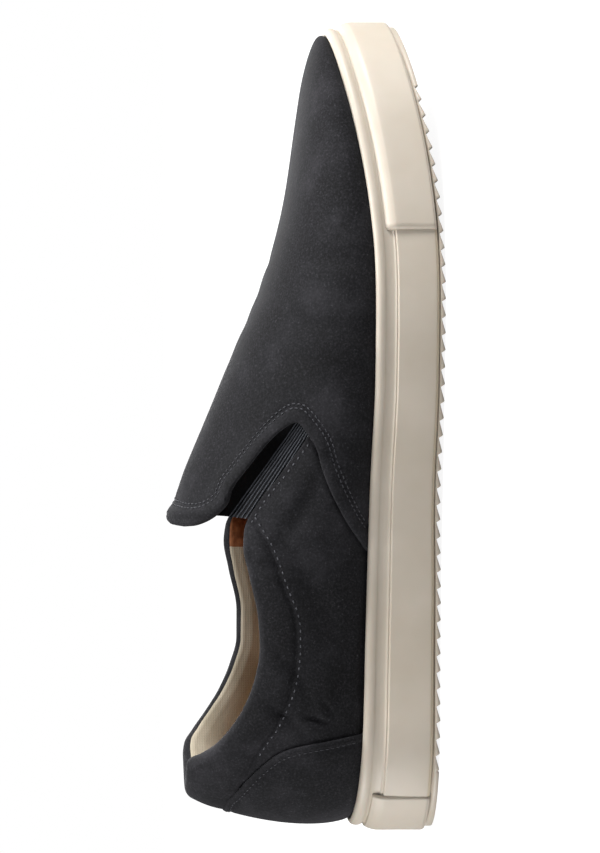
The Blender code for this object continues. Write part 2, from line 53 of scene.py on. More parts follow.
# Form of the shoe, the same as the solids it dresses
SOLE_LENGTH = 297.8 * MM
BALL_WIDTH = 100.8 * MM
HEEL_WIDTH = 75.2 * MM
INSTEP_HEIGHT = 97 * MM
BACK_HEIGHT = 92 * MM
COLLAR_HEIGHT = 66 * MM
RIM_HEIGHT = 24.5 * MM
TOE_SPRING = 14 * MM
GAP = 0.3 * MM
UPPER_WALL = 1.8 * MM
VAMP_STEP = 0.9 * MM
COUNTER_WALL = 0.7 * MM
FEATHER_GAP = GAP + max(VAMP_STEP, GAP + COUNTER_WALL)
RIM_LEDGE = 4.2 * MM
HEEL_FLOOR = 13 * MM
FOREFOOT_FLOOR = 8 * MM
INSOLE_THICK = 5 * MM
WAIST_LIFT = 0.8 * MM
WAIST_MIDDLE = 0.42
WAIST_REACH = 0.14
FLOOR_SLOPE = (0.15, 0.60)
WIDEST_RUN = 0.02
HEEL_WIDEST = 0.155
MEDIAL_BALL = 0.73
LATERAL_BALL = 0.65
MEDIAL_SHARE = 0.461
MEDIAL_TOE_POWER = 2.1
LATERAL_TOE_POWER = 1.88
WAIST_COLUMNS = ("share", "medial", "lateral")
WAIST = (
    (0.26, 0.345, 0.382),
    (0.36, 0.328, 0.416),
    (0.45, 0.350, 0.463),
    (0.54, 0.396, 0.506),
)
RIM_COLUMNS = ("share", "rise")
RIM = (
    (0.0, 1.24),
    (0.05, 1.18),
    (0.12, 1.14),
    (0.30, 1.09),
    (0.42, 1.035),
    (0.58, 1.01),
    (0.70, 1.015),
    (0.77, 1.035),
    (0.86, 1.06),
    (0.92, 1.07),
    (1.0, 1.045),
)
SPRING_START = 0.66
SPRING_POWER = 2.0
LAST_COLUMNS = ("share", "ridge", "offset", "medial", "lateral", "full")
LAST = (
    (0.00, 1.30, -0.03, 3.2 * MM, 3.2 * MM, 2.0),
    (0.10, 1.32, -0.03, 4.2 * MM, 5.0 * MM, 2.0),
    (0.20, 1.42, -0.03, 6.5 * MM, 7.0 * MM, 2.3),
    (0.28, 1.40, -0.03, 8.5 * MM, 8.0 * MM, 2.3),
    (0.34, 1.20, -0.03, 10.0 * MM, 8.5 * MM, 2.2),
    (0.392, 1.00, -0.03, 11.0 * MM, 8.5 * MM, 2.0),
    (0.45, 0.928, -0.025, 11.0 * MM, 7.5 * MM, 1.95),
    (0.526, 0.830, -0.02, 9.0 * MM, 5.5 * MM, 1.95),
    (0.59, 0.750, -0.01, 7.0 * MM, 4.0 * MM, 2.05),
    (0.656, 0.664, 0.0, 6.0 * MM, 3.0 * MM, 2.15),
    (0.732, 0.586, 0.01, 4.0 * MM, 2.0 * MM, 2.25),
    (0.80, 0.541, 0.01, 2.2 * MM, 2.8 * MM, 2.3),
    (0.887, 0.508, 0.01, 1.4 * MM, 3.2 * MM, 2.4),
    (0.94, 0.495, 0.0, 1.2 * MM, 2.6 * MM, 2.4),
    (1.00, 0.468, 0.0, 0.4 * MM, 0.4 * MM, 2.4),
)
SWELL_REACH = 70 * MM
SWELL_POWER = 0.6
SPINE_FRONT = 0.60
SPINE_REAR = 0.33
SPINE_DRAW = 0.42

# Lines of the upper seen from the side, in shares of the length and of a height
SIDE_COLUMNS = ("share", "lateral", "medial")
# The flap's edge below the tongue, in shares of the instep's height
FLAP_LINE = (
    (0.425, 0.765, 0.772),
    (0.457, 0.692, 0.700),
    (0.480, 0.640, 0.648),
    (0.495, 0.600, 0.608),
    (0.505, 0.560, 0.568),
    (0.507, 0.535, 0.543),
    (0.500, 0.515, 0.523),
)
# The tongue's end over the instep: x, then the arc from the middle, lateral side positive
TONGUE_END = (
    (-26.6 * MM, 34.6 * MM),
    (-29.9 * MM, 31.4 * MM),
    (-33.0 * MM, 26.8 * MM),
    (-34.7 * MM, 19.5 * MM),
    (-33.8 * MM, 9.0 * MM),
    (-32.3 * MM, -1.0 * MM),
    (-31.4 * MM, -12.0 * MM),
    (-30.4 * MM, -22.0 * MM),
    (-28.4 * MM, -29.0 * MM),
    (-25.0 * MM, -34.8 * MM),
)
# The wing's edge on both sides: share of length, share of the instep's height
WING_LINE = (
    (0.478, 0.470),
    (0.446, 0.440),
    (0.415, 0.400),
    (0.385, 0.350),
    (0.362, 0.300),
    (0.350, 0.240),
    (0.350, 0.150),
)
# The quarters' upper edge and the seam under the pad, in shares of the collar's height
COLLAR_LINE = (
    (0.530, 0.650, 0.680),
    (0.490, 0.742, 0.765),
    (0.440, 0.902, 0.935),
    (0.405, 1.022, 1.065),
    (0.376, 1.082, 1.145),
    (0.355, 1.088, 1.155),
    (0.320, 1.055, 1.125),
    (0.265, 1.003, 1.075),
    (0.230, 0.995, 1.075),
    (0.195, 1.020, 1.115),
    (0.165, 1.065, 1.170),
    (0.125, 1.155, 1.265),
    (0.095, 1.240, 1.340),
    (0.070, 1.330, 1.390),
    (0.050, 1.394, 1.400),
    (0.000, 1.400, 1.400),
)
COLLAR_SEAM = (
    (0.396, 1.052, 1.100),
    (0.353, 0.940, 1.000),
    (0.323, 0.889, 0.955),
    (0.300, 0.852, 0.920),
    (0.280, 0.815, 0.885),
    (0.257, 0.795, 0.868),
    (0.233, 0.794, 0.872),
    (0.207, 0.802, 0.895),
    (0.180, 0.827, 0.930),
    (0.157, 0.865, 0.970),
    (0.133, 0.915, 1.020),
    (0.110, 0.977, 1.075),
    (0.080, 1.040, 1.120),
    (0.040, 1.085, 1.140),
    (0.000, 1.100, 1.145),
)
# The counter's edge on both sides: share of length, share of the back's height
COUNTER_LINE = (
    (0.128, 0.22),
    (0.128, 0.28),
    (0.120, 0.42),
    (0.108, 0.60),
    (0.086, 0.70),
    (0.055, 0.785),
    (0.030, 0.830),
    (-0.05, 0.830),
)
COUNTER_END = 0.15
# The gores' lower and upper edges, front end first: share of length, share of the instep's height
GORE_LOW = ((0.498, 0.470), (0.386, 0.66))
GORE_HIGH = ((0.530, 0.56), (0.396, 0.89))
# Shares at which the quarters begin, the vamp's sheet ends and the leather lining meets the cloth
QUARTER_FRONT = 0.525
VAMP_REAR = 0.325
LINING_CHANGE = 0.352

# Thickness of a bare edge, what the pad gains at the heel, and how deep the quarter lies by the slot
THIN_EDGE = 1.9 * MM
HEEL_PAD = 3.5 * MM
WING_SINK = 0.9 * MM
# The cloth lining's depth and slack, and how far the vamp's lining stays back and goes down
LINING_DEPTH = 2.1 * MM
SLACK = 0.35 * MM
LINING_BACK = 4.6 * MM
LINING_NEARER = 3.4 * MM
LINING_LOWER = 0.9 * MM
# How far one turn reaches across the back of the heel, and one of angle down into the cup
HEEL_ACROSS = 425 * MM
CUP_REACH = 30 * MM
# The flap's lift, and the bead, the trough and the stitch rows beside the vamp's edge
FLAP_LIFT = 2.4 * MM
EDGE_BEAD = 0.35 * MM
SEAM_TROUGH = 0.32 * MM
STITCH_ROWS = (4.5 * MM, 6.1 * MM)
COUNTER_STITCHES = 2.0 * MM
# How a cut edge rounds over: outwards in the surface, up from it
VAMP_STEPS = (
    (0.30 * MM, -0.10 * MM),
    (0.55 * MM, -0.40 * MM),
    (0.62 * MM, -0.85 * MM),
    (0.50 * MM, -1.30 * MM),
    (0.10 * MM, -1.75 * MM),
    (-1.2 * MM, -1.95 * MM),
)
COUNTER_STEPS = ((0.3 * MM, -0.15 * MM), (0.45 * MM, -0.5 * MM), (0.35 * MM, -1.3 * MM))
LINING_STEPS = ((0.0, -0.3 * MM),)

# Sizes of the tread's teeth and of the edge round it
TOOTH_DEPTH = 1.5 * MM
TOOTH_RETURN = 0.8 * MM
TOOTH_TIP = 0.07
TREAD_THICK = 2.1 * MM
TREAD_INSET = 0.5 * MM


def table_value(rows, columns, name, share):
    """Value of one column of a table at a share of the length, by a cubic that never overshoots its rows."""
    x = np.array([row[0] for row in rows], float)
    y = np.array([row[columns.index(name)] for row in rows], float)
    step, slope = np.diff(x), np.diff(y) / np.diff(x)
    tangent = np.zeros(len(x))
    for i in range(1, len(x) - 1):
        if slope[i - 1] * slope[i] > 0:
            before, after = 2 * step[i] + step[i - 1], step[i] + 2 * step[i - 1]
            tangent[i] = (before + after) / (before / slope[i - 1] + after / slope[i])
    tangent[0], tangent[-1] = slope[0], slope[-1]
    at = np.clip(np.asarray(share, float), x[0], x[-1])
    i = np.clip(np.searchsorted(x, at) - 1, 0, len(step) - 1)
    s = (at - x[i]) / step[i]
    return (
        y[i] * (1 + 2 * s) * (1 - s) ** 2
        + tangent[i] * step[i] * s * (1 - s) ** 2
        + y[i + 1] * s * s * (3 - 2 * s)
        + tangent[i + 1] * step[i] * s * s * (s - 1)
    )


def smooth(low, high, value):
    """Eases from 0 at low to 1 at high."""
    s = np.clip((np.asarray(value, float) - low) / (high - low), 0, 1)
    return s * s * (3 - 2 * s)


def hump(value, centre, width):
    """A round hump, 1 high at its centre."""
    return np.exp(-(((value - centre) / width) ** 2))


def half_width(side, share):
    """Half width of the sole's plan on one side, at a share of the length."""
    ball_share = MEDIAL_SHARE if side == "medial" else 1 - MEDIAL_SHARE
    ball = MEDIAL_BALL if side == "medial" else LATERAL_BALL
    power = MEDIAL_TOE_POWER if side == "medial" else LATERAL_TOE_POWER
    column = WAIST_COLUMNS.index(side)
    heel = HEEL_WIDTH / 2 / BALL_WIDTH
    rows = [(HEEL_WIDEST - WIDEST_RUN, heel), (HEEL_WIDEST, heel)]
    rows += [(row[0], row[column]) for row in WAIST]
    rows += [(ball, ball_share), (ball + WIDEST_RUN, ball_share)]
    width = table_value(rows, ("share", "width"), "width", share)
    heel_run = np.clip((HEEL_WIDEST - share) / HEEL_WIDEST, 0, 1)
    toe_run = np.clip((share - ball) / (1 - ball), 0, 1)
    rounding = np.sqrt(1 - heel_run**2) * (1 - toe_run**power) ** (1 / power)
    return width * rounding * BALL_WIDTH


def turn_share(turn):
    """Share of length at a turn round the shoe: 0 at the heel, 0.5 at the toe, lateral side first."""
    return 0.5 * (1 - np.cos(2 * np.pi * np.asarray(turn)))


def share_turn(share, side):
    """The turn at a share of the length on one side. Medial turns are negative."""
    turn = np.arccos(np.clip(1 - 2 * np.asarray(share, float), -1, 1)) / (2 * np.pi)
    return turn if side == "lateral" else -turn


Y_SHIFT = (half_width("medial", MEDIAL_BALL) - half_width("lateral", LATERAL_BALL)) / 2


def plan_point(turn):
    """The sole's outline at a turn, centred in its box."""
    turn = np.asarray(turn, float)
    share = turn_share(turn)
    lateral_side = np.mod(turn, 1.0) <= 0.5
    y = np.where(lateral_side, -half_width("lateral", share), half_width("medial", share))
    return np.stack([(share - 0.5) * SOLE_LENGTH, y - Y_SHIFT], -1)


def plan_normal(turn):
    """Unit normal of the outline in plan, away from the shoe."""
    small = 0.0004
    ahead = plan_point(np.asarray(turn) + small) - plan_point(np.asarray(turn) - small)
    normal = np.stack([ahead[..., 1], -ahead[..., 0]], -1)
    return normal / np.linalg.norm(normal, axis=-1, keepdims=True)


def inset_point(turn, distance):
    """The outline drawn in by a distance."""
    return plan_point(turn) - plan_normal(turn) * np.asarray(distance)[..., None]


def spring(share):
    """Height of the tread's underside: flat at heel and ball, lifted at the waist and up to the toe."""
    share = np.asarray(share, float)
    rise = np.clip((share - SPRING_START) / (1 - SPRING_START), 0, 1)
    waist = np.clip(1 - np.abs(share - WAIST_MIDDLE) / WAIST_REACH, 0, 1)
    return TOE_SPRING * rise**SPRING_POWER + WAIST_LIFT * waist * waist * (3 - 2 * waist)


def rim_rise(share):
    """Height of the rim above the tread's underside."""
    return RIM_HEIGHT * table_value(RIM, RIM_COLUMNS, "rise", share)


def cup_floor(share):
    """Height of the floor inside the cup above the tread's underside."""
    return HEEL_FLOOR + (FOREFOOT_FLOOR - HEEL_FLOOR) * smooth(*FLOOR_SLOPE, share)


def share_at(x):
    """The share of the length at x."""
    return np.asarray(x) / SOLE_LENGTH + 0.5


def side_x(share):
    """x at a share of the length."""
    return (np.asarray(share) - 0.5) * SOLE_LENGTH


def last_columns():
    """What the last needs at each turn, kept at fine steps so that any turn reads it quickly."""
    turn = np.linspace(0, 1, 2401)
    feather = inset_point(turn, RIM_LEDGE + FEATHER_GAP)
    share = turn_share(turn)
    run = share_at((feather[:, 0] + feather[::-1, 0]) / 2)
    first, final = run.min(), run.max()
    ahead = np.clip((run - SPINE_FRONT) / (final - SPINE_FRONT), 0, 1)
    behind = np.clip((SPINE_REAR - run) / (SPINE_REAR - first), 0, 1)
    backwards = SPINE_DRAW * ahead**2 * (final - SPINE_FRONT)
    forwards = SPINE_DRAW * behind**2 * (SPINE_REAR - first)
    spine = run - backwards + forwards
    foot = share_at(feather[:, 0])
    swell = np.where(
        turn > 0.5,
        table_value(LAST, LAST_COLUMNS, "medial", foot),
        table_value(LAST, LAST_COLUMNS, "lateral", foot),
    )
    normal = plan_normal(turn)
    return turn, {
        "x": feather[:, 0],
        "y": feather[:, 1],
        "low": spring(share) + rim_rise(share),
        "peak_x": (spine - 0.5) * SOLE_LENGTH,
        "peak_y": table_value(LAST, LAST_COLUMNS, "offset", spine) * BALL_WIDTH,
        "power": 2 / table_value(LAST, LAST_COLUMNS, "full", run),
        "swell": swell,
        "nx": normal[:, 0],
        "ny": normal[:, 1],
    }


TURNS, LAST_AT = last_columns()


def last_point(turn, angle):
    """A point of the last: angle 0 at the rim, a quarter turn at the ridge, below 0 down into the cup."""
    turn, angle = np.broadcast_arrays(np.asarray(turn, float), np.asarray(angle, float))
    at = {name: np.interp(np.mod(turn, 1.0), TURNS, column) for name, column in LAST_AT.items()}
    arc = np.clip(angle, 0, math.pi / 2 - 1e-7)
    inward = 1 - np.cos(arc) ** at["power"]
    climb = np.sin(arc) ** at["power"]
    x = at["x"] + (at["peak_x"] - at["x"]) * inward
    y = at["y"] + (at["peak_y"] - at["y"]) * inward
    ridge = table_value(LAST, LAST_COLUMNS, "ridge", share_at(x)) * INSTEP_HEIGHT
    z = at["low"] + (ridge - at["low"]) * climb
    reach = np.clip((z - at["low"]) / np.minimum(SWELL_REACH, ridge - at["low"]), 0, 1)
    push = at["swell"] * np.sin(np.pi * reach**SWELL_POWER)
    below = np.minimum(angle, 0) * CUP_REACH
    return np.stack([x + at["nx"] * push, y + at["ny"] * push, z + below], -1)


def last_normal(turn, angle):
    """Unit normal of the last, outwards."""
    step_t, step_a = 0.0012, 0.012
    angle = np.clip(angle, -1, math.pi / 2 - step_a - 1e-6)
    along = last_point(turn + step_t, angle) - last_point(turn - step_t, angle)
    up = last_point(turn, angle + step_a) - last_point(turn, angle - step_a)
    normal = np.cross(along, up)
    return normal / np.maximum(np.linalg.norm(normal, axis=-1, keepdims=True), 1e-12)


def halve(turn, below, times):
    """The angle up to which below(angle) holds at each turn, by halving."""
    low, high = np.zeros_like(turn), np.full_like(turn, math.pi / 2)
    for _ in range(times):
        middle = (low + high) / 2
        held = below(middle)
        low, high = np.where(held, middle, low), np.where(held, high, middle)
    return (low + high) / 2


def angle_at_height(turn, height):
    """The angle at which the last passes a height."""
    return halve(turn, lambda angle: last_point(turn, angle)[..., 2] < height, 26)


def on_side(x, z, side):
    """Turn and angle of the points of the last seen from one side at x and z."""
    x, z = np.asarray(x, float), np.asarray(z, float)
    share = share_at(x)
    for _ in range(14):
        turn = share_turn(np.clip(share, 0.0, 1.0), side)
        angle = angle_at_height(turn, z)
        share = np.clip(share + (x - last_point(turn, angle)[..., 0]) / SOLE_LENGTH, 0.0, 1.0)
    return share_turn(share, side), angle


# A lying cylinder in the instep, on which the tongue's cut is laid out
INSTEP_CENTRE = 40 * MM
INSTEP_RADIUS = 50 * MM


def arc_over(place):
    """How far round the instep a point lies from the middle, as a length: lateral side positive."""
    return INSTEP_RADIUS * np.arctan2(-place[..., 1], place[..., 2] - INSTEP_CENTRE)


def from_arc(x, arc):
    """Turn and angle of the points of the last at x and an arc round the instep."""
    x, arc = np.asarray(x, float), np.asarray(arc, float)
    share = share_at(x)
    ridge = arc_over(last_point(share_turn(share, "lateral"), math.pi / 2))
    side = np.where(arc > ridge, 1.0, -1.0)

    def outside(angle):
        return (arc_over(last_point(turn, angle)) - arc) * side > 0

    for _ in range(14):
        turn = share_turn(share, "lateral") * side
        angle = halve(turn, outside, 24)
        share = np.clip(share + (x - last_point(turn, angle)[..., 0]) / SOLE_LENGTH, 0.0, 1.0)
    return turn, angle


def curve_through(points, count):
    """A smooth line through points, with evenly shared steps between them."""
    points = np.array(points, float)
    padded = np.vstack([2 * points[0] - points[1], points, 2 * points[-1] - points[-2]])
    out = []
    spans = len(points) - 1
    for s in np.linspace(0, spans, count):
        i = min(int(s), spans - 1)
        t = s - i
        a, b, c, d = padded[i : i + 4]
        square = (2 * a - 5 * b + 4 * c - d) * t * t
        cube = (3 * b - a - 3 * c + d) * t**3
        out.append(0.5 * (2 * b + (c - a) * t + square + cube))
    return np.array(out)


def evenly(points, spacing):
    """The same line with points at an even spacing."""
    points = np.asarray(points, float)
    run = np.concatenate([[0], np.cumsum(np.linalg.norm(np.diff(points, axis=0), axis=1))])
    count = max(2, int(round(run[-1] / spacing)) + 1)
    at = np.linspace(0, run[-1], count)
    return np.stack([np.interp(at, run, points[:, i]) for i in range(points.shape[1])], -1)


def signed_distance(x, z, polygon):
    """Distance to a polygon's edge, positive inside it."""
    shape = x.shape
    p = np.stack([x.ravel(), z.ravel()], -1)
    a = np.asarray(polygon, float)
    b = np.roll(a, -1, axis=0)
    best = np.full(len(p), 1e9)
    inside = np.zeros(len(p), bool)
    for (ax, az), (bx, bz) in zip(a, b):
        ex, ez = bx - ax, bz - az
        px, pz = p[:, 0] - ax, p[:, 1] - az
        t = np.clip((px * ex + pz * ez) / (ex * ex + ez * ez + 1e-18), 0, 1)
        best = np.minimum(best, np.hypot(px - t * ex, pz - t * ez))
        if az != bz:
            crosses = (az > p[:, 1]) != (bz > p[:, 1])
            inside ^= crosses & (p[:, 0] < ex * (p[:, 1] - az) / ez + ax)
    return np.where(inside, best, -best).reshape(shape)


def linear(hex_colour):
    """A colour written in sRGB hex, as linear light."""
    parts = [int(hex_colour[i : i + 2], 16) / 255 for i in (1, 3, 5)]
    return tuple(((c + 0.055) / 1.055) ** 2.4 if c > 0.04045 else c / 12.92 for c in parts) + (1.0,)


def node(tree, kind, settings=None, **links):
    """Adds a node, with its settings, its input values and its links. A link is an output socket."""
    made = tree.nodes.new(kind)
    for name, value in (settings or {}).items():
        setattr(made, name, value)
    for name, value in links.items():
        label = name.replace("_", " ")
        socket = made.inputs[int(name[1:])] if name[1:].isdigit() else made.inputs[label]
        if isinstance(value, bpy.types.NodeSocket):
            tree.links.new(value, socket)
        else:
            socket.default_value = value
    return made


def new_material(name, roughness, **constants):
    """A material with its tree and its shader, whose inputs take the named constants."""
    made = bpy.data.materials.new(name)
    made.use_nodes = True
    shader = made.node_tree.nodes["Principled BSDF"]
    shader.inputs["Roughness"].default_value = roughness
    for label, value in constants.items():
        shader.inputs[label.replace("_", " ")].default_value = value
    return made, made.node_tree, shader


def noise(tree, size, detail=2.0, rough=0.5, stretch=None):
    """Noise in object coordinates whose lumps are about one size, in metres."""
    coordinates = node(tree, "ShaderNodeTexCoord").outputs["Object"]
    if stretch:
        coordinates = node(tree, "ShaderNodeMapping", Vector=coordinates, Scale=stretch).outputs[0]
    return node(
        tree, "ShaderNodeTexNoise", Vector=coordinates, Scale=1 / size, Detail=detail, Roughness=rough
    ).outputs["Fac"]


def ramp(tree, source, stops):
    """A colour ramp over a value, from (place, hex colour) stops."""
    made = node(tree, "ShaderNodeValToRGB", Fac=source)
    elements = made.color_ramp.elements
    for i, (place, colour) in enumerate(stops):
        element = elements[i] if i < 2 else elements.new(place)
        element.position = place
        element.color = linear(colour)
    return made.outputs["Color"]


def bump(tree, height, distance, strength=1.0, under=None):
    """A bump from a height, laid over another one if that is given."""
    links = {"Height": height, "Distance": distance, "Strength": strength}
    if under is not None:
        links["Normal"] = under
    return node(tree, "ShaderNodeBump", **links).outputs["Normal"]


def mix(tree, factor, low, high, blend="MIX"):
    """Two colours mixed by a factor."""
    settings = {"data_type": "RGBA", "blend_type": blend}
    return node(tree, "ShaderNodeMix", settings, i0=factor, i6=low, i7=high).outputs[2]


def suede_material():
    """Black nubuck, buffed to a short nap: matt, with a fine fuzz that catches light at the edges."""
    made, tree, shader = new_material(
        "buffed_black_nubuck", 0.90, Sheen_Weight=0.10, Sheen_Roughness=0.4, Specular_IOR_Level=0.25
    )
    shader.inputs["Sheen Tint"].default_value = linear("#9A9A9E")
    cloud = noise(tree, 26 * MM, 5, 0.62)
    nap = noise(tree, 0.8 * MM, 4, 0.75)
    base = ramp(tree, cloud, [(0.34, "#0A0A0C"), (0.52, "#151518"), (0.70, "#313034")])
    fleck = ramp(tree, nap, [(0.44, "#08080A"), (0.62, "#2E2D31"), (0.76, "#6A696E")])
    tree.links.new(mix(tree, 0.42, base, fleck), shader.inputs["Base Color"])
    fuzz = bump(tree, noise(tree, 0.5 * MM, 2, 0.7), 0.06 * MM, 0.7)
    grain = bump(tree, noise(tree, 4.0 * MM, 3, 0.6), 0.16 * MM, 0.5, fuzz)
    tree.links.new(grain, shader.inputs["Normal"])
    return made


def rubber_material():
    """Cream rubber from a polished mould: satin, faintly uneven in tone, with soft low ripples."""
    made, tree, shader = new_material(
        "moulded_cream_rubber",
        0.46,
        Specular_IOR_Level=0.45,
        Subsurface_Weight=0.05,
        Subsurface_Scale=2 * MM,
    )
    tone = ramp(tree, noise(tree, 30 * MM, 3, 0.5), [(0.3, "#C3B8A8"), (0.7, "#CFC5B7")])
    warm = node(tree, "ShaderNodeAttribute", {"attribute_name": "warm"}).outputs["Fac"]
    tree.links.new(mix(tree, warm, tone, linear("#D6C6A6")), shader.inputs["Base Color"])
    ripple = bump(tree, noise(tree, 3.5 * MM, 3, 0.6), 0.05 * MM, 0.5)
    fine = bump(tree, noise(tree, 0.5 * MM, 2, 0.6), 0.02 * MM, 0.5, ripple)
    tree.links.new(fine, shader.inputs["Normal"])
    return made


def leather_material():
    """Brown lining leather, plated with a fine pebble grain: satin on the bumps, with painted shade
    darkening the grain's hollows.
    """
    made, tree, shader = new_material("grained_brown_leather", 0.44, Specular_IOR_Level=0.5)
    coordinates = node(tree, "ShaderNodeTexCoord").outputs["Object"]
    pebble = node(
        tree, "ShaderNodeTexVoronoi", {"feature": "SMOOTH_F1"}, Vector=coordinates, Scale=1 / (1.5 * MM)
    ).outputs["Distance"]
    tone = ramp(tree, noise(tree, 26 * MM, 4, 0.6), [(0.3, "#87502F"), (0.7, "#AE7048")])
    # Painted shade: the pebble grain's hollows are darkened in the colour, on top of the shading that the
    # bump gives them.
    grain_hollow_shade = ramp(tree, pebble, [(0.2, "#FFFFFF"), (0.85, "#8A6A5A")])
    tree.links.new(mix(tree, 0.55, tone, grain_hollow_shade, "MULTIPLY"), shader.inputs["Base Color"])
    grain = bump(tree, pebble, 0.22 * MM, 0.6)
    pull = bump(tree, noise(tree, 7 * MM, 3, 0.6, (0.4, 1.6, 1.0)), 0.35 * MM, 0.5, grain)
    tree.links.new(pull, shader.inputs["Normal"])
    return made


# Length of one wave of a wave texture whose scale is 1
WAVE_LENGTH = 0.314


def textile_material():
    """Cream lining cloth, a fine plain weave: matt and soft."""
    made, tree, shader = new_material(
        "woven_cream_lining", 0.88, Sheen_Weight=0.15, Specular_IOR_Level=0.25
    )
    coordinates = node(tree, "ShaderNodeTexCoord").outputs["Object"]
    fine = {"Scale": WAVE_LENGTH / (0.9 * MM), "Distortion": 1.0}
    warp, weft = (
        node(tree, "ShaderNodeTexWave", {"bands_direction": way}, Vector=coordinates, **fine).outputs["Fac"]
        for way in ("X", "Z")
    )
    weave = node(tree, "ShaderNodeMath", {"operation": "MULTIPLY"}, i0=warp, i1=weft).outputs[0]
    tone = ramp(tree, noise(tree, 14 * MM, 3, 0.6), [(0.3, "#ABA18D"), (0.7, "#BFB5A2")])
    tree.links.new(tone, shader.inputs["Base Color"])
    tree.links.new(bump(tree, weave, 0.10 * MM, 0.6), shader.inputs["Normal"])
    return made


def elastic_material():
    """Black woven elastic behind its pale rubber ribs: matt, with a tight cross weave."""
    made, tree, shader = new_material("woven_black_elastic", 0.8, Specular_IOR_Level=0.3)
    tone = ramp(tree, noise(tree, 0.8 * MM, 2, 0.6), [(0.35, "#0C0C0E"), (0.7, "#1B1B1F")])
    tree.links.new(tone, shader.inputs["Base Color"])
    tree.links.new(bump(tree, noise(tree, 0.5 * MM, 2, 0.6), 0.12 * MM, 0.8), shader.inputs["Normal"])
    return made


def thread_material(name, tones):
    """Twisted polyester thread: a slight gloss, uneven where it dips."""
    made, tree, shader = new_material(name, 0.55, Specular_IOR_Level=0.4)
    tone = ramp(tree, noise(tree, 0.5 * MM, 2, 0.6), [(0.3, tones[0]), (0.7, tones[1])])
    tree.links.new(tone, shader.inputs["Base Color"])
    tree.links.new(bump(tree, noise(tree, 0.25 * MM, 2, 0.6), 0.05 * MM, 0.7), shader.inputs["Normal"])
    return made


def floor_material():
    """A pale studio sweep lit from below, so that it stays white and takes only a faint shadow."""
    made, tree, shader = new_material("backlit_pale_sweep", 0.9, Specular_IOR_Level=0.0)
    shader.inputs["Emission Color"].default_value = (1, 1, 1, 1)
    tone = ramp(tree, noise(tree, 0.6, 2, 0.5), [(0.2, "#7E7E7E"), (0.8, "#848484")])
    tree.links.new(tone, shader.inputs["Base Color"])
    seen = node(tree, "ShaderNodeLightPath").outputs["Is Camera Ray"]
    place = node(tree, "ShaderNodeTexCoord").outputs["Object"]
    away = node(tree, "ShaderNodeVectorMath", {"operation": "LENGTH"}, i0=place).outputs["Value"]
    white = node(tree, "ShaderNodeMapRange", i0=away, i1=0.2, i2=1.3, i3=0.90, i4=1.02).outputs[0]
    glow = node(tree, "ShaderNodeMapRange", i0=seen, i3=0.10, i4=white).outputs[0]
    tree.links.new(glow, shader.inputs["Emission Strength"])
    return made


MATERIALS = {}


def finish(name):
    """The named finish, made the first time it is asked for."""
    makers = {
        "suede": suede_material,
        "rubber": rubber_material,
        "leather": leather_material,
        "textile": textile_material,
        "elastic": elastic_material,
        "floor": floor_material,
        "grey_thread": lambda: thread_material("twisted_grey_thread", ("#1A1A1E", "#404147")),
        "pale_thread": lambda: thread_material("twisted_pale_thread", ("#2A2A2F", "#66676D")),
        "rib": lambda: thread_material("covered_rubber_rib", ("#26282D", "#4A4D55")),
    }
    if name not in MATERIALS:
        MATERIALS[name] = makers[name]()
    return MATERIALS[name]


def mesh_piece(name, points, faces, finishes, face_finish=None):
    """A smooth-shaded mesh object with its finishes."""
    mesh = bpy.data.meshes.new(name)
    mesh.from_pydata([tuple(p) for p in np.asarray(points).reshape(-1, 3)], [], [tuple(f) for f in faces])
    mesh.validate()
    for one in finishes:
        mesh.materials.append(finish(one))
    if face_finish is not None:
        mesh.polygons.foreach_set("material_index", np.asarray(face_finish, dtype=np.int32))
    mesh.polygons.foreach_set("use_smooth", np.ones(len(mesh.polygons), dtype=bool))
    made = bpy.data.objects.new(name, mesh)
    bpy.context.scene.collection.objects.link(made)
    return made


def face_out(made):
    """Points the faces of a closed piece outwards."""
    shape = bmesh.new()
    shape.from_mesh(made.data)
    bmesh.ops.remove_doubles(shape, verts=shape.verts, dist=0.003 * MM)
    bmesh.ops.recalc_face_normals(shape, faces=shape.faces)
    shape.to_mesh(made.data)
    shape.free()
    return made


def grid_faces(rows, columns, wrap=False):
    """Quads between the points of a grid, whose columns may close on themselves."""
    faces = []
    for r in range(rows - 1):
        for c in range(columns if wrap else columns - 1):
            d = (c + 1) % columns
            faces.append((r * columns + c, r * columns + d, (r + 1) * columns + d, (r + 1) * columns + c))
    return faces


def settle(made, slot_name, *nodes):
    """Lets a piece ride with the shoe and stand for its solids. Its slot name is not used."""
    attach(made, "root")
    if nodes:
        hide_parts(*nodes)
    return made


def bake(made):
    """Turns a piece with its modifiers into a plain mesh."""
    graph = bpy.context.evaluated_depsgraph_get()
    result = bpy.data.meshes.new_from_object(made.evaluated_get(graph))
    made.modifiers.clear()
    made.data = result
    return made


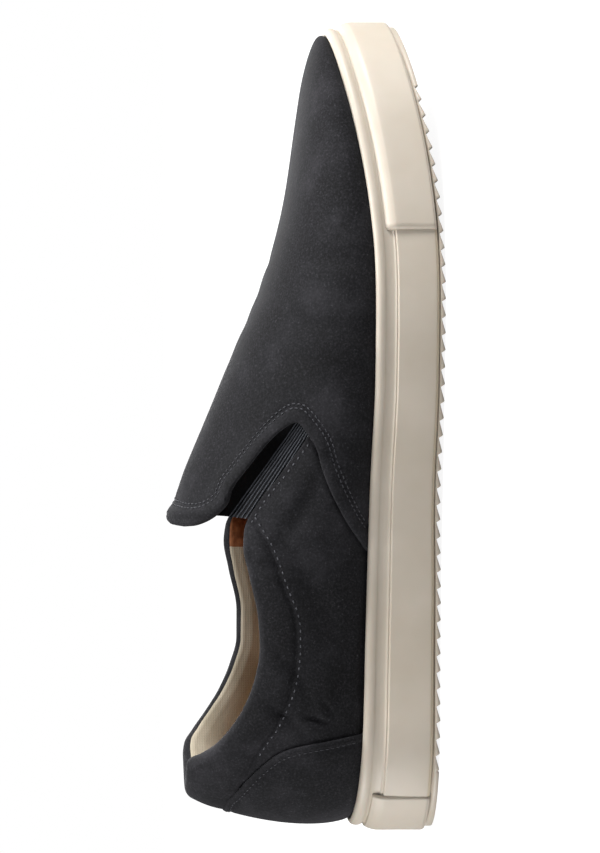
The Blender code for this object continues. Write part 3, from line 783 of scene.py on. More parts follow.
# Soft troughs in the upper's sides. Columns: side, share, height, angle, length, width, depth.
# Sizes are in mm, angles in degrees from level, and a trough's depth is negative
CREASES = (
    ("lateral", 0.46, 40, 60, 24, 5.0, -0.5),
    ("lateral", 0.30, 47, 20, 40, 7.0, -0.6),
    ("lateral", 0.26, 39, 12, 34, 6.0, -0.5),
    ("lateral", 0.20, 52, 35, 26, 5.0, -0.45),
    ("lateral", 0.155, 58, 55, 20, 4.0, -0.5),
    ("lateral", 0.21, 34, -8, 30, 5.0, -0.4),
    ("lateral", 0.146, 45, 75, 10, 3.4, -0.8),
    ("lateral", 0.160, 41, 35, 8, 3.0, -0.55),
    ("lateral", 0.330, 58, 80, 14, 4.0, -0.35),
    ("lateral", 0.40, 50, -30, 28, 7.0, -0.5),
    ("lateral", 0.62, 42, 75, 26, 8.0, -0.6),
    ("lateral", 0.70, 38, 80, 20, 7.0, -0.5),
    ("lateral", 0.57, 56, 50, 22, 7.0, -0.5),
    ("medial", 0.60, 42, 75, 26, 8.0, -0.6),
    ("medial", 0.70, 40, 80, 22, 7.0, -0.6),
    ("medial", 0.45, 42, 40, 30, 8.0, -0.7),
    ("medial", 0.34, 46, 10, 36, 7.0, -0.6),
    ("medial", 0.26, 40, 5, 34, 6.0, -0.6),
    ("medial", 0.18, 50, 40, 24, 5.0, -0.5),
)
# The same over the forefoot. Columns: share, place across, angle, length, width, depth
TOP_CREASES = (
    (0.66, -6, 84, 44, 7.0, -0.55),
    (0.70, 10, 97, 34, 6.0, -0.45),
    (0.625, 8, 92, 36, 7.0, -0.45),
    (0.745, -12, 80, 26, 6.0, -0.35),
    (0.58, -8, 88, 30, 8.0, -0.35),
)


# How strong all creases are, the share of that over the forefoot, their bows and the ridges beside them
CREASE_STRENGTH = 1.7
TOP_CREASE_SHARE = 0.4
SIDE_BOW = -0.006
TOP_BOW = 0.004
SIDE_RIDGE = 0.45


def crease_wave(right, up, angle, length, width, bow, ridge):
    """The form of one crease around places in its plane: a bowed trough, and a ridge beside it."""
    turned = math.radians(angle)
    along = right * math.cos(turned) + up * math.sin(turned)
    across = -right * math.sin(turned) + up * math.cos(turned)
    bend = across + bow * along**2
    trough = hump(bend, 0, width / 2) - ridge * hump(bend, width, width / 1.6)
    return hump(along, 0, length / 2) * trough


def crease_depth(point):
    """How far the creases move the surface at points, outwards."""
    moved = np.zeros(point.shape[:-1])
    x, y, z = point[..., 0] / MM, point[..., 1] / MM, point[..., 2] / MM
    for side, share, height, angle, length, width, depth in CREASES:
        on_it = y < 0 if side == "lateral" else y > 0
        wave = crease_wave(x - side_x(share) / MM, z - height, angle, length, width, SIDE_BOW, SIDE_RIDGE)
        moved += np.where(on_it, depth * wave, 0)
    for share, middle, angle, length, width, depth in TOP_CREASES:
        wave = crease_wave(x - side_x(share) / MM, y - middle, angle, length, width, TOP_BOW, 0)
        moved += TOP_CREASE_SHARE * depth * wave * smooth(35, 50, z)
    return CREASE_STRENGTH * moved * MM


def skin(turn, angle, offset):
    """Points at an offset outside the creased last."""
    base = last_point(turn, angle)
    lift = np.asarray(offset) + crease_depth(base)
    return base + last_normal(turn, angle) * lift[..., None]


# A panel's cut: what counts as on the line, what is merged, what is one place, and the smoothing
SNAP = 0.12 * MM
MERGE = 0.2 * MM
SAME_PLACE = 1e-9
EDGE_PASSES = 6


def clipped_grid(turn, angle, value):
    """Faces, turns and angles of a grid cut off where the value at its points turns negative."""
    flat_t, flat_a = turn.ravel().tolist(), angle.ravel().tolist()
    value = np.where(np.abs(value.ravel()) < SNAP, 0.0, value.ravel())
    cut = {}

    def crossing(i, j):
        low, high = min(i, j), max(i, j)
        if (low, high) not in cut:
            s = value[low] / (value[low] - value[high])
            flat_t.append(flat_t[low] + (flat_t[high] - flat_t[low]) * s)
            flat_a.append(flat_a[low] + (flat_a[high] - flat_a[low]) * s)
            cut[low, high] = len(flat_t) - 1
        return cut[low, high]

    faces = []
    for corners in grid_faces(*turn.shape):
        signs = [value[c] for c in corners]
        if max(signs) <= 0:
            continue
        if min(signs) >= 0:
            faces.append(corners)
            continue
        loop = []
        for one, other in zip(corners, corners[1:] + corners[:1]):
            if value[one] >= 0:
                loop.append(one)
            if value[one] * value[other] < 0:
                loop.append(crossing(one, other))
        if len(loop) > 2:
            faces.append(tuple(loop))
    used = sorted({i for face in faces for i in face})
    renumber = {old: new for new, old in enumerate(used)}
    faces = [tuple(renumber[i] for i in face) for face in faces]
    return faces, np.array(flat_t)[used], np.array(flat_a)[used]


def smoothed_border(border, up):
    """Smooths a cut edge. Gives the place, the upward and the outward direction of its vertices."""
    away, beside = {}, {}
    for edge in border:
        one, other = edge.verts
        out = (other.co - one.co).cross(one[up])
        inner = edge.link_faces[0].calc_center_median()
        if out.dot((one.co + other.co) / 2 - inner) < 0:
            out = -out
        for v in (one, other):
            away[v] = away.get(v, Vector()) + out.normalized()
        beside.setdefault(one, []).append(other)
        beside.setdefault(other, []).append(one)
    for _ in range(EDGE_PASSES):
        inside = [v for v in away if len(beside[v]) == 2]
        places = [v.co * 0.5 + sum((o.co for o in beside[v]), Vector()) * 0.25 for v in inside]
        for v, place in zip(inside, places):
            v.co = place
        unit = {v: way.normalized() for v, way in away.items()}
        away = {v: unit[v] + sum((unit[o] for o in beside[v]), Vector()) for v in unit}
    return {v: (v.co.copy(), v[up].copy(), away[v].normalized()) for v in away}


def step_down(shape, border, up, steps, thicker):
    """Rounds a cut edge over, step by step, down to the panel's underside."""
    start = smoothed_border(border, up)
    source = {v: v for v in start}
    for out, lift in steps:
        grown = bmesh.ops.extrude_edge_only(shape, edges=border)["geom"]
        fresh = {}
        for v in grown:
            if not isinstance(v, bmesh.types.BMVert):
                continue
            near = [edge.other_vert(v) for edge in v.link_edges]
            old = [o for o in near if o in source and (o.co - v.co).length < SAME_PLACE]
            if old:
                fresh[v] = source[old[0]]
        for v, root in fresh.items():
            place, upward, outward = start[root]
            grow = 1.0 + float(thicker(np.array(place))) if thicker else 1.0
            v.co = place + outward * out * grow + upward * lift * grow
            v[up] = upward
        border = [g for g in grown if isinstance(g, bmesh.types.BMEdge)]
        source = fresh


def trimmed_sheet(name, turn, angle, inside, offset, steps, finishes, thicker=None):
    """A panel cut from the last where inside() is positive, lifted by offset(), with a rounded cut edge."""
    faces, t, a = clipped_grid(turn, angle, inside(turn, angle))
    made = mesh_piece(name, skin(t, a, offset(t, a)), faces, finishes)
    shape = bmesh.new()
    shape.from_mesh(made.data)
    up = shape.verts.layers.float_vector.new("up")
    for vertex, direction in zip(shape.verts, last_normal(t, a)):
        vertex[up] = Vector(direction)
    bmesh.ops.remove_doubles(shape, verts=shape.verts, dist=MERGE)
    bmesh.ops.recalc_face_normals(shape, faces=shape.faces)
    largest = max(shape.faces, key=lambda face: face.calc_area())
    if largest.normal.dot(largest.verts[0][up]) < 0:
        bmesh.ops.reverse_faces(shape, faces=shape.faces)
    step_down(shape, [edge for edge in shape.edges if edge.is_boundary], up, steps, thicker)
    for face in shape.faces:
        face.smooth = True
    shape.to_mesh(made.data)
    shape.free()
    return made


def line_height(line, turn):
    """Height of a line of the quarters at a turn round the shoe, blended over the middle of the heel."""
    share = turn_share(turn)
    rows = sorted(line)
    lateral = table_value(rows, SIDE_COLUMNS, "lateral", share) * COLLAR_HEIGHT
    medial = table_value(rows, SIDE_COLUMNS, "medial", share) * COLLAR_HEIGHT
    return medial + (lateral - medial) * smooth(-0.03, 0.03, turn)


def new_tree(name, sizes, material):
    """A Geometry Nodes tree that takes sizes and a material. Gives the tree and what it is given."""
    tree = bpy.data.node_groups.new(name, "GeometryNodeTree")
    face = tree.interface
    face.new_socket("Geometry", in_out="INPUT", socket_type="NodeSocketGeometry")
    for label, default in sizes:
        socket = face.new_socket(label, in_out="INPUT", socket_type="NodeSocketFloat")
        socket.default_value = default
    face.new_socket(material, in_out="INPUT", socket_type="NodeSocketMaterial")
    face.new_socket("Geometry", in_out="OUTPUT", socket_type="NodeSocketGeometry")
    return tree, node(tree, "NodeGroupInput").outputs


def end_tree(tree, shape, material):
    """Ends a tree: the shape is made real and takes its material."""
    real = node(tree, "GeometryNodeRealizeInstances", Geometry=shape).outputs[0]
    done = node(tree, "GeometryNodeSetMaterial", Geometry=real, Material=material).outputs[0]
    tree.links.new(done, node(tree, "NodeGroupOutput").inputs[0])
    return tree


def stitch_tree():
    """Geometry Nodes: lays short thread stitches along lines, pressed against the surface below."""
    sizes = (("Pitch", 2.6 * MM), ("Stitch length", 2.0 * MM), ("Thread width", 0.5 * MM))
    tree, given = new_tree("thread_stitches", sizes, "Thread")
    line = node(tree, "GeometryNodeMeshToCurve", Mesh=given["Geometry"]).outputs[0]
    by_length = {"mode": "LENGTH"}
    even = node(tree, "GeometryNodeResampleCurve", by_length, Curve=line, Length=given["Pitch"]).outputs[0]
    along = node(tree, "GeometryNodeInputTangent").outputs[0]
    as_vector = {"data_type": "FLOAT_VECTOR"}
    upwards = node(tree, "GeometryNodeInputNamedAttribute", as_vector, Name="up").outputs[0]
    axes = {"primary_axis": "X", "secondary_axis": "Z"}
    turned = node(
        tree, "FunctionNodeAxesToRotation", axes, Primary_Axis=along, Secondary_Axis=upwards
    ).outputs[0]
    bead = node(tree, "GeometryNodeMeshUVSphere", Segments=8, Rings=6, Radius=0.5).outputs[0]
    soft = node(tree, "GeometryNodeSetShadeSmooth", Geometry=bead).outputs[0]
    width = given["Thread width"]
    size = node(tree, "ShaderNodeCombineXYZ", X=given["Stitch length"], Y=width, Z=width).outputs[0]
    laid = node(
        tree, "GeometryNodeInstanceOnPoints", Points=even, Instance=soft, Rotation=turned, Scale=size
    ).outputs[0]
    return end_tree(tree, laid, given["Thread"])


def cord_tree():
    """Geometry Nodes: runs a round cord along each line."""
    tree, given = new_tree("round_cords", (("Cord width", 0.6 * MM),), "Cord")
    line = node(tree, "GeometryNodeMeshToCurve", Mesh=given["Geometry"]).outputs[0]
    multiply = {"operation": "MULTIPLY"}
    half = node(tree, "ShaderNodeMath", multiply, i0=given["Cord width"], i1=0.5).outputs[0]
    ring = node(tree, "GeometryNodeCurvePrimitiveCircle", Resolution=8, Radius=half).outputs[0]
    swept = node(tree, "GeometryNodeCurveToMesh", Curve=line, Profile_Curve=ring, Fill_Caps=True).outputs[0]
    soft = node(tree, "GeometryNodeSetShadeSmooth", Geometry=swept).outputs[0]
    return end_tree(tree, soft, given["Cord"])


def teeth_tree():
    """Geometry Nodes: presses saw teeth into the tread: sharply down to a tip, gently up again."""
    sizes = (
        ("Start", 0.0),
        ("End", 0.1),
        ("Pitch", 6 * MM),
        ("Depth", TOOTH_DEPTH),
        ("Return", TOOTH_RETURN),
    )
    tree, given = new_tree("tread_teeth", sizes, "Rubber")

    def maths(operation, first, second=0.0, clamp=False):
        settings = {"operation": operation, "use_clamp": clamp}
        return node(tree, "ShaderNodeMath", settings, i0=first, i1=second).outputs[0]

    place = node(tree, "GeometryNodeInputPosition").outputs[0]
    x = node(tree, "ShaderNodeSeparateXYZ", Vector=place).outputs["X"]
    run = maths("SUBTRACT", x, given["Start"])
    within = maths("FLOORED_MODULO", run, given["Pitch"])
    fall = maths("DIVIDE", within, given["Return"], True)
    rest = maths("SUBTRACT", given["Pitch"], given["Return"])
    climb = maths("DIVIDE", maths("SUBTRACT", within, given["Return"]), rest, True)
    rise = maths("DIVIDE", maths("SUBTRACT", climb, TOOTH_TIP), 1 - TOOTH_TIP, True)
    hollow = maths("ADD", maths("SUBTRACT", 1.0, fall), rise)
    started = maths("GREATER_THAN", x, given["Start"])
    ended = maths("LESS_THAN", x, given["End"])
    as_float = {"data_type": "FLOAT"}
    under = node(tree, "GeometryNodeInputNamedAttribute", as_float, Name="under").outputs[0]
    share = maths("MULTIPLY", maths("MULTIPLY", started, ended), under)
    lift = maths("MULTIPLY", maths("MULTIPLY", hollow, share), given["Depth"])
    move = node(tree, "ShaderNodeCombineXYZ", X=0.0, Y=0.0, Z=lift).outputs[0]
    cut = node(tree, "GeometryNodeSetPosition", Geometry=given["Geometry"], Offset=move).outputs[0]
    return end_tree(tree, cut, given["Rubber"])


TREES = {}


def run_tree(made, maker, **values):
    """Runs a Geometry Nodes tree on a piece, with inputs by name, and keeps the result as a mesh."""
    if maker not in TREES:
        TREES[maker] = maker()
    tree = TREES[maker]
    modifier = made.modifiers.new(tree.name, "NODES")
    modifier.node_group = tree
    for item in tree.interface.items_tree:
        label = item.name.replace(" ", "_")
        if item.in_out == "INPUT" and label in values:
            modifier[item.identifier] = values[label]
    made.update_tag()
    return bake(made)


def line_object(name, lines):
    """Lines as one mesh of edges. Each line is (points, directions up from the surface)."""
    points, edges, ups = [], [], []
    for place, up in lines:
        first = len(points)
        points += [tuple(p) for p in place]
        ups += [tuple(u) for u in up]
        edges += [(first + i, first + i + 1) for i in range(len(place) - 1)]
    mesh = bpy.data.meshes.new(name)
    mesh.from_pydata(points, edges, [])
    layer = mesh.attributes.new("up", "FLOAT_VECTOR", "POINT")
    layer.data.foreach_set("vector", np.array(ups, dtype=np.float32).ravel())
    made = bpy.data.objects.new(name, mesh)
    bpy.context.scene.collection.objects.link(made)
    return made


def surface_line(path, side, offset):
    """A line on one side of the upper through points seen from the side, with its upward directions."""
    path = evenly(path, 1 * MM)
    turn, angle = on_side(path[:, 0], path[:, 1], side)
    return skin(turn, angle, offset), last_normal(turn, angle)


def offset_line(points, distance):
    """A line shifted sideways to its left in the plane."""
    points = np.asarray(points, float)
    ahead = np.gradient(points, axis=0)
    ahead /= np.linalg.norm(ahead, axis=1, keepdims=True)
    return points + np.stack([-ahead[:, 1], ahead[:, 0]], -1) * distance


def vamp_edge():
    """The vamp's rear edge as (x, arc over the instep), lateral side first, over the tongue."""
    halves = []
    for side, away in (("lateral", 1), ("medial", -1)):
        column = SIDE_COLUMNS.index(side)
        rows = [(side_x(row[0]), row[column] * INSTEP_HEIGHT) for row in FLAP_LINE]
        rows += [(side_x(share), height * INSTEP_HEIGHT) for share, height in WING_LINE]
        x, z = np.array(rows).T
        half = np.column_stack([x, arc_over(last_point(*on_side(x, z, side)))])
        low_x, low_arc = half[-1]
        below_sole = [(low_x - back * MM, low_arc + away * down * MM) for back, down in ((2, 8), (3, 22))]
        halves.append(np.vstack([half, below_sole]))
    return curve_through(np.vstack([halves[0][::-1], TONGUE_END, halves[1]]), 440)


VAMP_EDGE = vamp_edge()
VAMP_OUTLINE = np.vstack(
    [[(0.3, 0.3), (VAMP_EDGE[0, 0], 0.3)], VAMP_EDGE, [(VAMP_EDGE[-1, 0], -0.3), (0.3, -0.3)]]
)


def inside_vamp(turn, angle):
    """Distance inside the vamp's cut, measured over the instep."""
    place = last_point(turn, angle)
    return signed_distance(place[..., 0], arc_over(place), VAMP_OUTLINE)


def flap_offset(turn, angle):
    """The vamp's height over the last: its layer, a bead at the edge, a trough at the stitches, the flap."""
    place = last_point(turn, angle)
    x, y, z = np.moveaxis(place, -1, 0)
    inside = inside_vamp(turn, angle)
    near_edge = smooth(13 * MM, 0.5 * MM, inside)
    flap = smooth(0.515, 0.47, share_at(x)) * smooth(0.50, 0.60, z / INSTEP_HEIGHT)
    off_ridge = smooth(6 * MM, 24 * MM, np.abs(y))
    bead = EDGE_BEAD * hump(inside, 1.6 * MM, 1.7 * MM)
    trough = -SEAM_TROUGH * hump(inside, sum(STITCH_ROWS) / 2, 1.5 * MM)
    past_instep = np.maximum(table_value(LAST, LAST_COLUMNS, "ridge", share_at(x)) - 1.0, 0)
    droop = -past_instep * INSTEP_HEIGHT * smooth(38 * MM, 14 * MM, np.abs(arc_over(place)))
    return VAMP_STEP + FLAP_LIFT * near_edge * flap * off_ridge + bead + trough + droop


def inside_lining(turn, angle):
    """Distance inside the lining's cut, which stays behind the vamp's and comes closer at the tongue."""
    return inside_vamp(turn, angle) - LINING_BACK + LINING_NEARER * tongue_share(last_point(turn, angle))


def lining_offset(turn, angle):
    """The lining lies under the vamp's wall, lower at the tongue's thick end."""
    return -UPPER_WALL - LINING_LOWER * tongue_share(last_point(turn, angle))


COUNTER_OUTLINE = np.vstack(
    [
        curve_through([(side_x(share), height * BACK_HEIGHT) for share, height in COUNTER_LINE], 90),
        [(side_x(-0.05), -0.02), (side_x(COUNTER_LINE[0][0]), -0.02)],
    ]
)


def inside_counter(turn, angle):
    """Distance inside the counter's cut, seen from the side."""
    place = last_point(turn, angle)
    return signed_distance(place[..., 0], place[..., 2], COUNTER_OUTLINE)


def counter_offset(turn, angle):
    """The counter's height over the last, with a bead at the edge and a trough at the stitches."""
    inside = inside_counter(turn, angle)
    bead = 0.45 * MM * hump(inside, 1.0 * MM, 0.9 * MM)
    trough = -0.25 * MM * hump(inside, 2.4 * MM, 0.8 * MM)
    return GAP + COUNTER_WALL + bead + trough


def tongue_share(place):
    """1 at the tongue's thick end and 0 along the wings."""
    return smooth(side_x(0.445), side_x(0.40), place[..., 0]) * smooth(70 * MM, 88 * MM, place[..., 2])


def length_property(name, description, default):
    """A length that the panel shows."""
    return bpy.props.FloatProperty(
        name=name, description=description, default=default, unit="LENGTH", subtype="DISTANCE"
    )


class ShoeLooks(bpy.types.PropertyGroup):
    """Fineness of the visible pieces and the sizes of their small parts."""

    around: bpy.props.IntProperty(name="Around", description="Points round the upper", default=560, min=80)
    up_wall: bpy.props.IntProperty(name="Up the wall", description="Points up the wall", default=90, min=20)
    stitch_pitch: length_property("Stitch pitch", "From one stitch to the next", 2.7 * MM)
    thread_width: length_property("Thread width", "Thickness of the sewing thread", 0.55 * MM)
    collar_pad: length_property("Collar pad", "Thickness of the padded collar", 6.5 * MM)
    tooth_pitch: length_property("Tooth pitch", "From one tread tooth to the next", 6 * MM)


class SHOE_OT_quarters(bpy.types.Operator):
    """Makes the two quarters as one folded piece with the padded collar"""

    bl_idname = "shoe.quarters"
    bl_label = "Quarters and collar"

    def execute(self, context):
        looks = context.scene.shoe_looks
        ends = share_turn(QUARTER_FRONT, "medial"), share_turn(QUARTER_FRONT, "lateral")
        turn = np.linspace(*ends, looks.around)
        share = turn_share(turn)
        padded = smooth(0.405, 0.350, share)
        heel = smooth(0.13, 0.0, share)
        pad = THIN_EDGE + (looks.collar_pad - THIN_EDGE) * padded + HEEL_PAD * heel
        sink = -WING_SINK * (1 - padded)
        top_angle = angle_at_height(turn, line_height(COLLAR_LINE, turn))
        edge = last_point(turn, top_angle)
        step = 0.02
        up = edge - last_point(turn, top_angle - step)
        slope = np.linalg.norm(up, axis=-1) / step
        seam_angle = angle_at_height(turn, line_height(COLLAR_SEAM, turn))
        seam = np.maximum((top_angle - seam_angle) * slope, 1.2 * MM)
        radius = pad / 2
        end_angle = top_angle - radius / slope
        rows, lined = [], []
        # Up the outside, from inside the cup to the start of the fold
        for s in np.concatenate([[-0.3], np.linspace(0, 1, looks.up_wall) ** 0.75]):
            angle = np.where(s < 0, s, end_angle * s)
            depth = (end_angle - angle) * slope + radius
            puff = np.sin(np.pi * np.clip(1 - depth / seam, 0, 1) ** 0.8) * 1.1 * MM * padded
            groove = -0.45 * MM * hump(depth, seam, 0.75 * MM) * padded
            turned = sink * hump(depth, 0, 7 * MM)
            beside_vamp = -0.55 * MM * hump(inside_vamp(turn, angle), 0, 1.6 * MM)
            back_seam = -0.6 * MM * hump(turn * HEEL_ACROSS, 0, 0.9 * MM)
            rows.append(skin(turn, angle, puff + groove + turned + beside_vamp + back_seam))
            lined.append(False)
        # Over the fold, round its centre
        normal = last_normal(turn, end_angle)
        up = up - normal * np.sum(up * normal, -1, keepdims=True)
        up /= np.linalg.norm(up, axis=-1, keepdims=True)
        centre = rows[-1] - normal * radius[:, None]
        for phi in np.linspace(0, math.pi, 17)[1:]:
            out, over = math.cos(phi) * radius, math.sin(phi) * radius
            rows.append(centre + (normal * out[:, None] + up * over[:, None]))
            lined.append(phi >= 2.5)
        # Down the inside as the lining, slack at the heel
        floor_angle = -0.25
        for s in np.linspace(0, 1, 50)[1:]:
            angle = end_angle + (floor_angle - end_angle) * s
            depth = (end_angle - angle) * slope
            thick = LINING_DEPTH + (pad - LINING_DEPTH) * (1 - smooth(5 * MM, 24 * MM, depth))
            ripple = SLACK * np.sin(share * 95 + depth / MM * 0.35)
            slack = ripple * smooth(2 * MM, 10 * MM, depth) * heel
            rows.append(skin(turn, angle, -thick + sink * smooth(9 * MM, 3 * MM, depth) + slack))
            lined.append(True)
        lining = np.where(share[:-1] > LINING_CHANGE, 2, 1)
        finish_of = np.concatenate([lining * inner for inner in lined[1:]])
        faces = grid_faces(len(rows), looks.around)
        made = mesh_piece("quarters", np.stack(rows), faces, ["suede", "textile", "leather"], finish_of)
        settle(made, "suede_black", "upper")
        return {"FINISHED"}


class SHOE_OT_vamp(bpy.types.Operator):
    """Makes the vamp with its tongue flap and side wings"""

    bl_idname = "shoe.vamp"
    bl_label = "Vamp and tongue"

    def execute(self, context):
        looks = context.scene.shoe_looks
        ends = share_turn(VAMP_REAR, "lateral"), 1 + share_turn(VAMP_REAR, "medial")
        turn = np.linspace(*ends, looks.around + 121)
        steps = np.concatenate([[-0.2], np.linspace(0, math.pi / 2, looks.up_wall + 24)])
        grid = np.meshgrid(turn, steps)
        outer = trimmed_sheet("vamp", *grid, inside_vamp, flap_offset, VAMP_STEPS, ["suede"], tongue_share)
        settle(outer, "suede_black", "upper")
        grid = np.meshgrid(turn[::2], np.linspace(0.02, math.pi / 2, looks.up_wall))
        inner = trimmed_sheet(
            "vamp_lining", *grid, inside_lining, lining_offset, LINING_STEPS, ["leather"]
        )
        settle(inner, "leather_brown")
        return {"FINISHED"}


class SHOE_OT_counter(bpy.types.Operator):
    """Makes the nubuck counter that is laid over the heel"""

    bl_idname = "shoe.counter"
    bl_label = "Heel counter"

    def execute(self, context):
        reach = share_turn(COUNTER_END, "lateral")
        grid = np.meshgrid(np.linspace(-reach, reach, 240), np.linspace(-0.1, 1.1, 120))
        made = trimmed_sheet(
            "heel_counter", *grid, inside_counter, counter_offset, COUNTER_STEPS, ["suede"]
        )
        settle(made, "suede_black", "heel_counter")
        return {"FINISHED"}


class SHOE_OT_gores(bpy.types.Operator):
    """Makes the two elastic gores with their ribs"""

    bl_idname = "shoe.gores"
    bl_label = "Elastic gores"

    def execute(self, context):
        along, across = np.linspace(0, 1, 60), np.linspace(0, 1, 26)
        edges = []
        for line in (GORE_LOW, GORE_HIGH):
            front, rear = np.array([(side_x(share), height * INSTEP_HEIGHT) for share, height in line])
            edges.append(front + (rear - front) * along[:, None, None])
        grid = edges[0] + (edges[1] - edges[0]) * across[None, :, None]
        lean = smooth(0.42, 1.0, across)[None, :] * smooth(0.0, 0.35, along)[:, None]
        for side in ("lateral", "medial"):
            turn, angle = on_side(grid[..., 0], grid[..., 1], side)
            points = skin(turn, angle, -1.9 * MM - 2.6 * MM * lean)
            made = mesh_piece("gore_" + side, points, grid_faces(60, 26), ["elastic"])
            settle(made, "elastic_black", "gore_" + side)
            normal = last_normal(turn, angle)
            lines = []
            for place in np.arange(0.05, 0.66, 0.068) * 25:
                i, part = int(place), place - int(place)
                middle = points[:, i] * (1 - part) + points[:, i + 1] * part
                lines.append((middle + normal[:, i] * 0.12 * MM, normal[:, i]))
            ribs = line_object("gore_ribs_" + side, lines)
            run_tree(ribs, cord_tree, Cord_width=0.55 * MM, Cord=finish("rib"))
            settle(ribs, "elastic_black")
        return {"FINISHED"}


def section_rows(turns, section):
    """A rubber section swept round the outline. Its points are (rise as a share of the rim's, inset)."""
    share = turn_share(turns)
    low, rim = spring(share), rim_rise(share)
    return [np.column_stack([inset_point(turns, inset), low + rise * rim]) for rise, inset in section]


# The cup's wall from the tread's edge up over the groove and the rim: share of the rim's rise, inset
CUP_SECTION = (
    (0.090, 1.2 * MM),
    (0.100, 0.5 * MM),
    (0.125, 0.15 * MM),
    (0.16, 0.0),
    (0.40, 0.12 * MM),
    (0.640, 0.42 * MM),
    (0.664, 0.46 * MM),
    (0.676, 0.55 * MM),
    (0.684, 1.05 * MM),
    (0.692, 1.35 * MM),
    (0.702, 1.22 * MM),
    (0.712, 1.35 * MM),
    (0.735, 1.75 * MM),
    (0.790, 1.95 * MM),
    (0.832, 1.85 * MM),
    (0.855, 1.60 * MM),
    (0.872, 1.28 * MM),
    (0.900, 1.08 * MM),
    (0.935, 1.10 * MM),
    (0.965, 1.42 * MM),
    (0.985, 1.90 * MM),
    (0.997, 2.55 * MM),
    (1.000, 3.10 * MM),
    (0.990, 3.75 * MM),
    (0.965, 4.15 * MM),
    (0.900, 4.20 * MM),
)
# A strip's face: share of the rim's rise, how far it falls back in walls, and what is added to that
STRIP_SECTION = (
    (0.10, 0.9, 0),
    (0.108, 0.35, 0),
    (0.128, 0.08, 0),
    (0.16, 0.0, 0),
    (0.45, 0.0, 0.05 * MM),
    (0.64, 0.14, 0),
    (0.695, 0.40, 0),
    (0.740, 0.95, 0),
    (0.775, 1.60, 0),
    (0.800, 2.30, 0),
    (0.815, 2.80, 0),
)
# The strips: name, wall, and the ends of the run round the outline
STRIPS = (
    ("toe_bumper", 1.0 * MM, share_turn(0.735, "lateral"), 1 + share_turn(0.735, "medial")),
    ("heel_strip", 0.6 * MM, share_turn(0.048, "medial"), share_turn(0.048, "lateral")),
)


class SHOE_OT_cupsole(bpy.types.Operator):
    """Makes the cream rubber cup with its rim, groove and foxing band"""

    bl_idname = "shoe.cupsole"
    bl_label = "Cupsole"

    def execute(self, context):
        turns = np.linspace(0, 1, context.scene.shoe_looks.around, endpoint=False)
        share = turn_share(turns)
        section = curve_through(CUP_SECTION, 104)
        lip = np.column_stack([inset_point(turns, 8 * MM), spring(share) + 2.4 * MM])
        rows = [lip] + section_rows(turns, section)
        for inset in (RIM_LEDGE, RIM_LEDGE + 14 * MM):
            rows.append(np.column_stack([inset_point(turns, inset), spring(share) + cup_floor(share)]))
        made = mesh_piece("cupsole", np.stack(rows), grid_faces(len(rows), len(turns), True), ["rubber"])
        # A warmer line low on the wall, where the band meets the tread
        rise = np.concatenate([[0.1], section[:, 0], [0.5, 0.5]])
        layer = made.data.attributes.new("warm", "FLOAT", "POINT")
        warm = np.repeat(0.6 * hump(rise, 0.115, 0.02), len(turns))
        layer.data.foreach_set("value", warm.astype(np.float32))
        face_out(made)
        settle(made, "rubber_cream", "cupsole")
        return {"FINISHED"}


class SHOE_OT_strips(bpy.types.Operator):
    """Makes the toe bumper and the heel strip"""

    bl_idname = "shoe.strips"
    bl_label = "Toe bumper and heel strip"

    def execute(self, context):
        for name, wall, first, last in STRIPS:
            turns = np.linspace(first, last, 260)
            face = -GAP - wall
            anchors = [(0.10, 1.2 * MM)]
            anchors += [(rise, face + wall * walls + more) for rise, walls, more in STRIP_SECTION]
            anchors.append((0.820, 1.9 * MM))
            grid = np.stack(section_rows(turns, curve_through(anchors, 44)), 1)
            steps = np.linalg.norm(np.diff(grid[:, 20], axis=0), axis=1)
            run = np.concatenate([[0], np.cumsum(steps)])
            from_end = np.clip(np.minimum(run, run[-1] - run) / (1.1 * MM), 0, 1)
            drop = wall * 1.1 * (1 - np.sqrt(1 - (1 - from_end) ** 2))
            outward = np.column_stack([plan_normal(turns), np.zeros(len(turns))])
            grid = grid - outward[:, None, :] * drop[:, None, None]
            closing = grid[[0, -1]] - outward[[0, -1], None, :] * (0.9 * MM)
            grid = np.concatenate([closing[:1], grid, closing[1:]])
            made = mesh_piece(name, grid, grid_faces(*grid.shape[:2]), ["rubber"])
            face_out(made)
            settle(made, "rubber_cream", name)
        return {"FINISHED"}


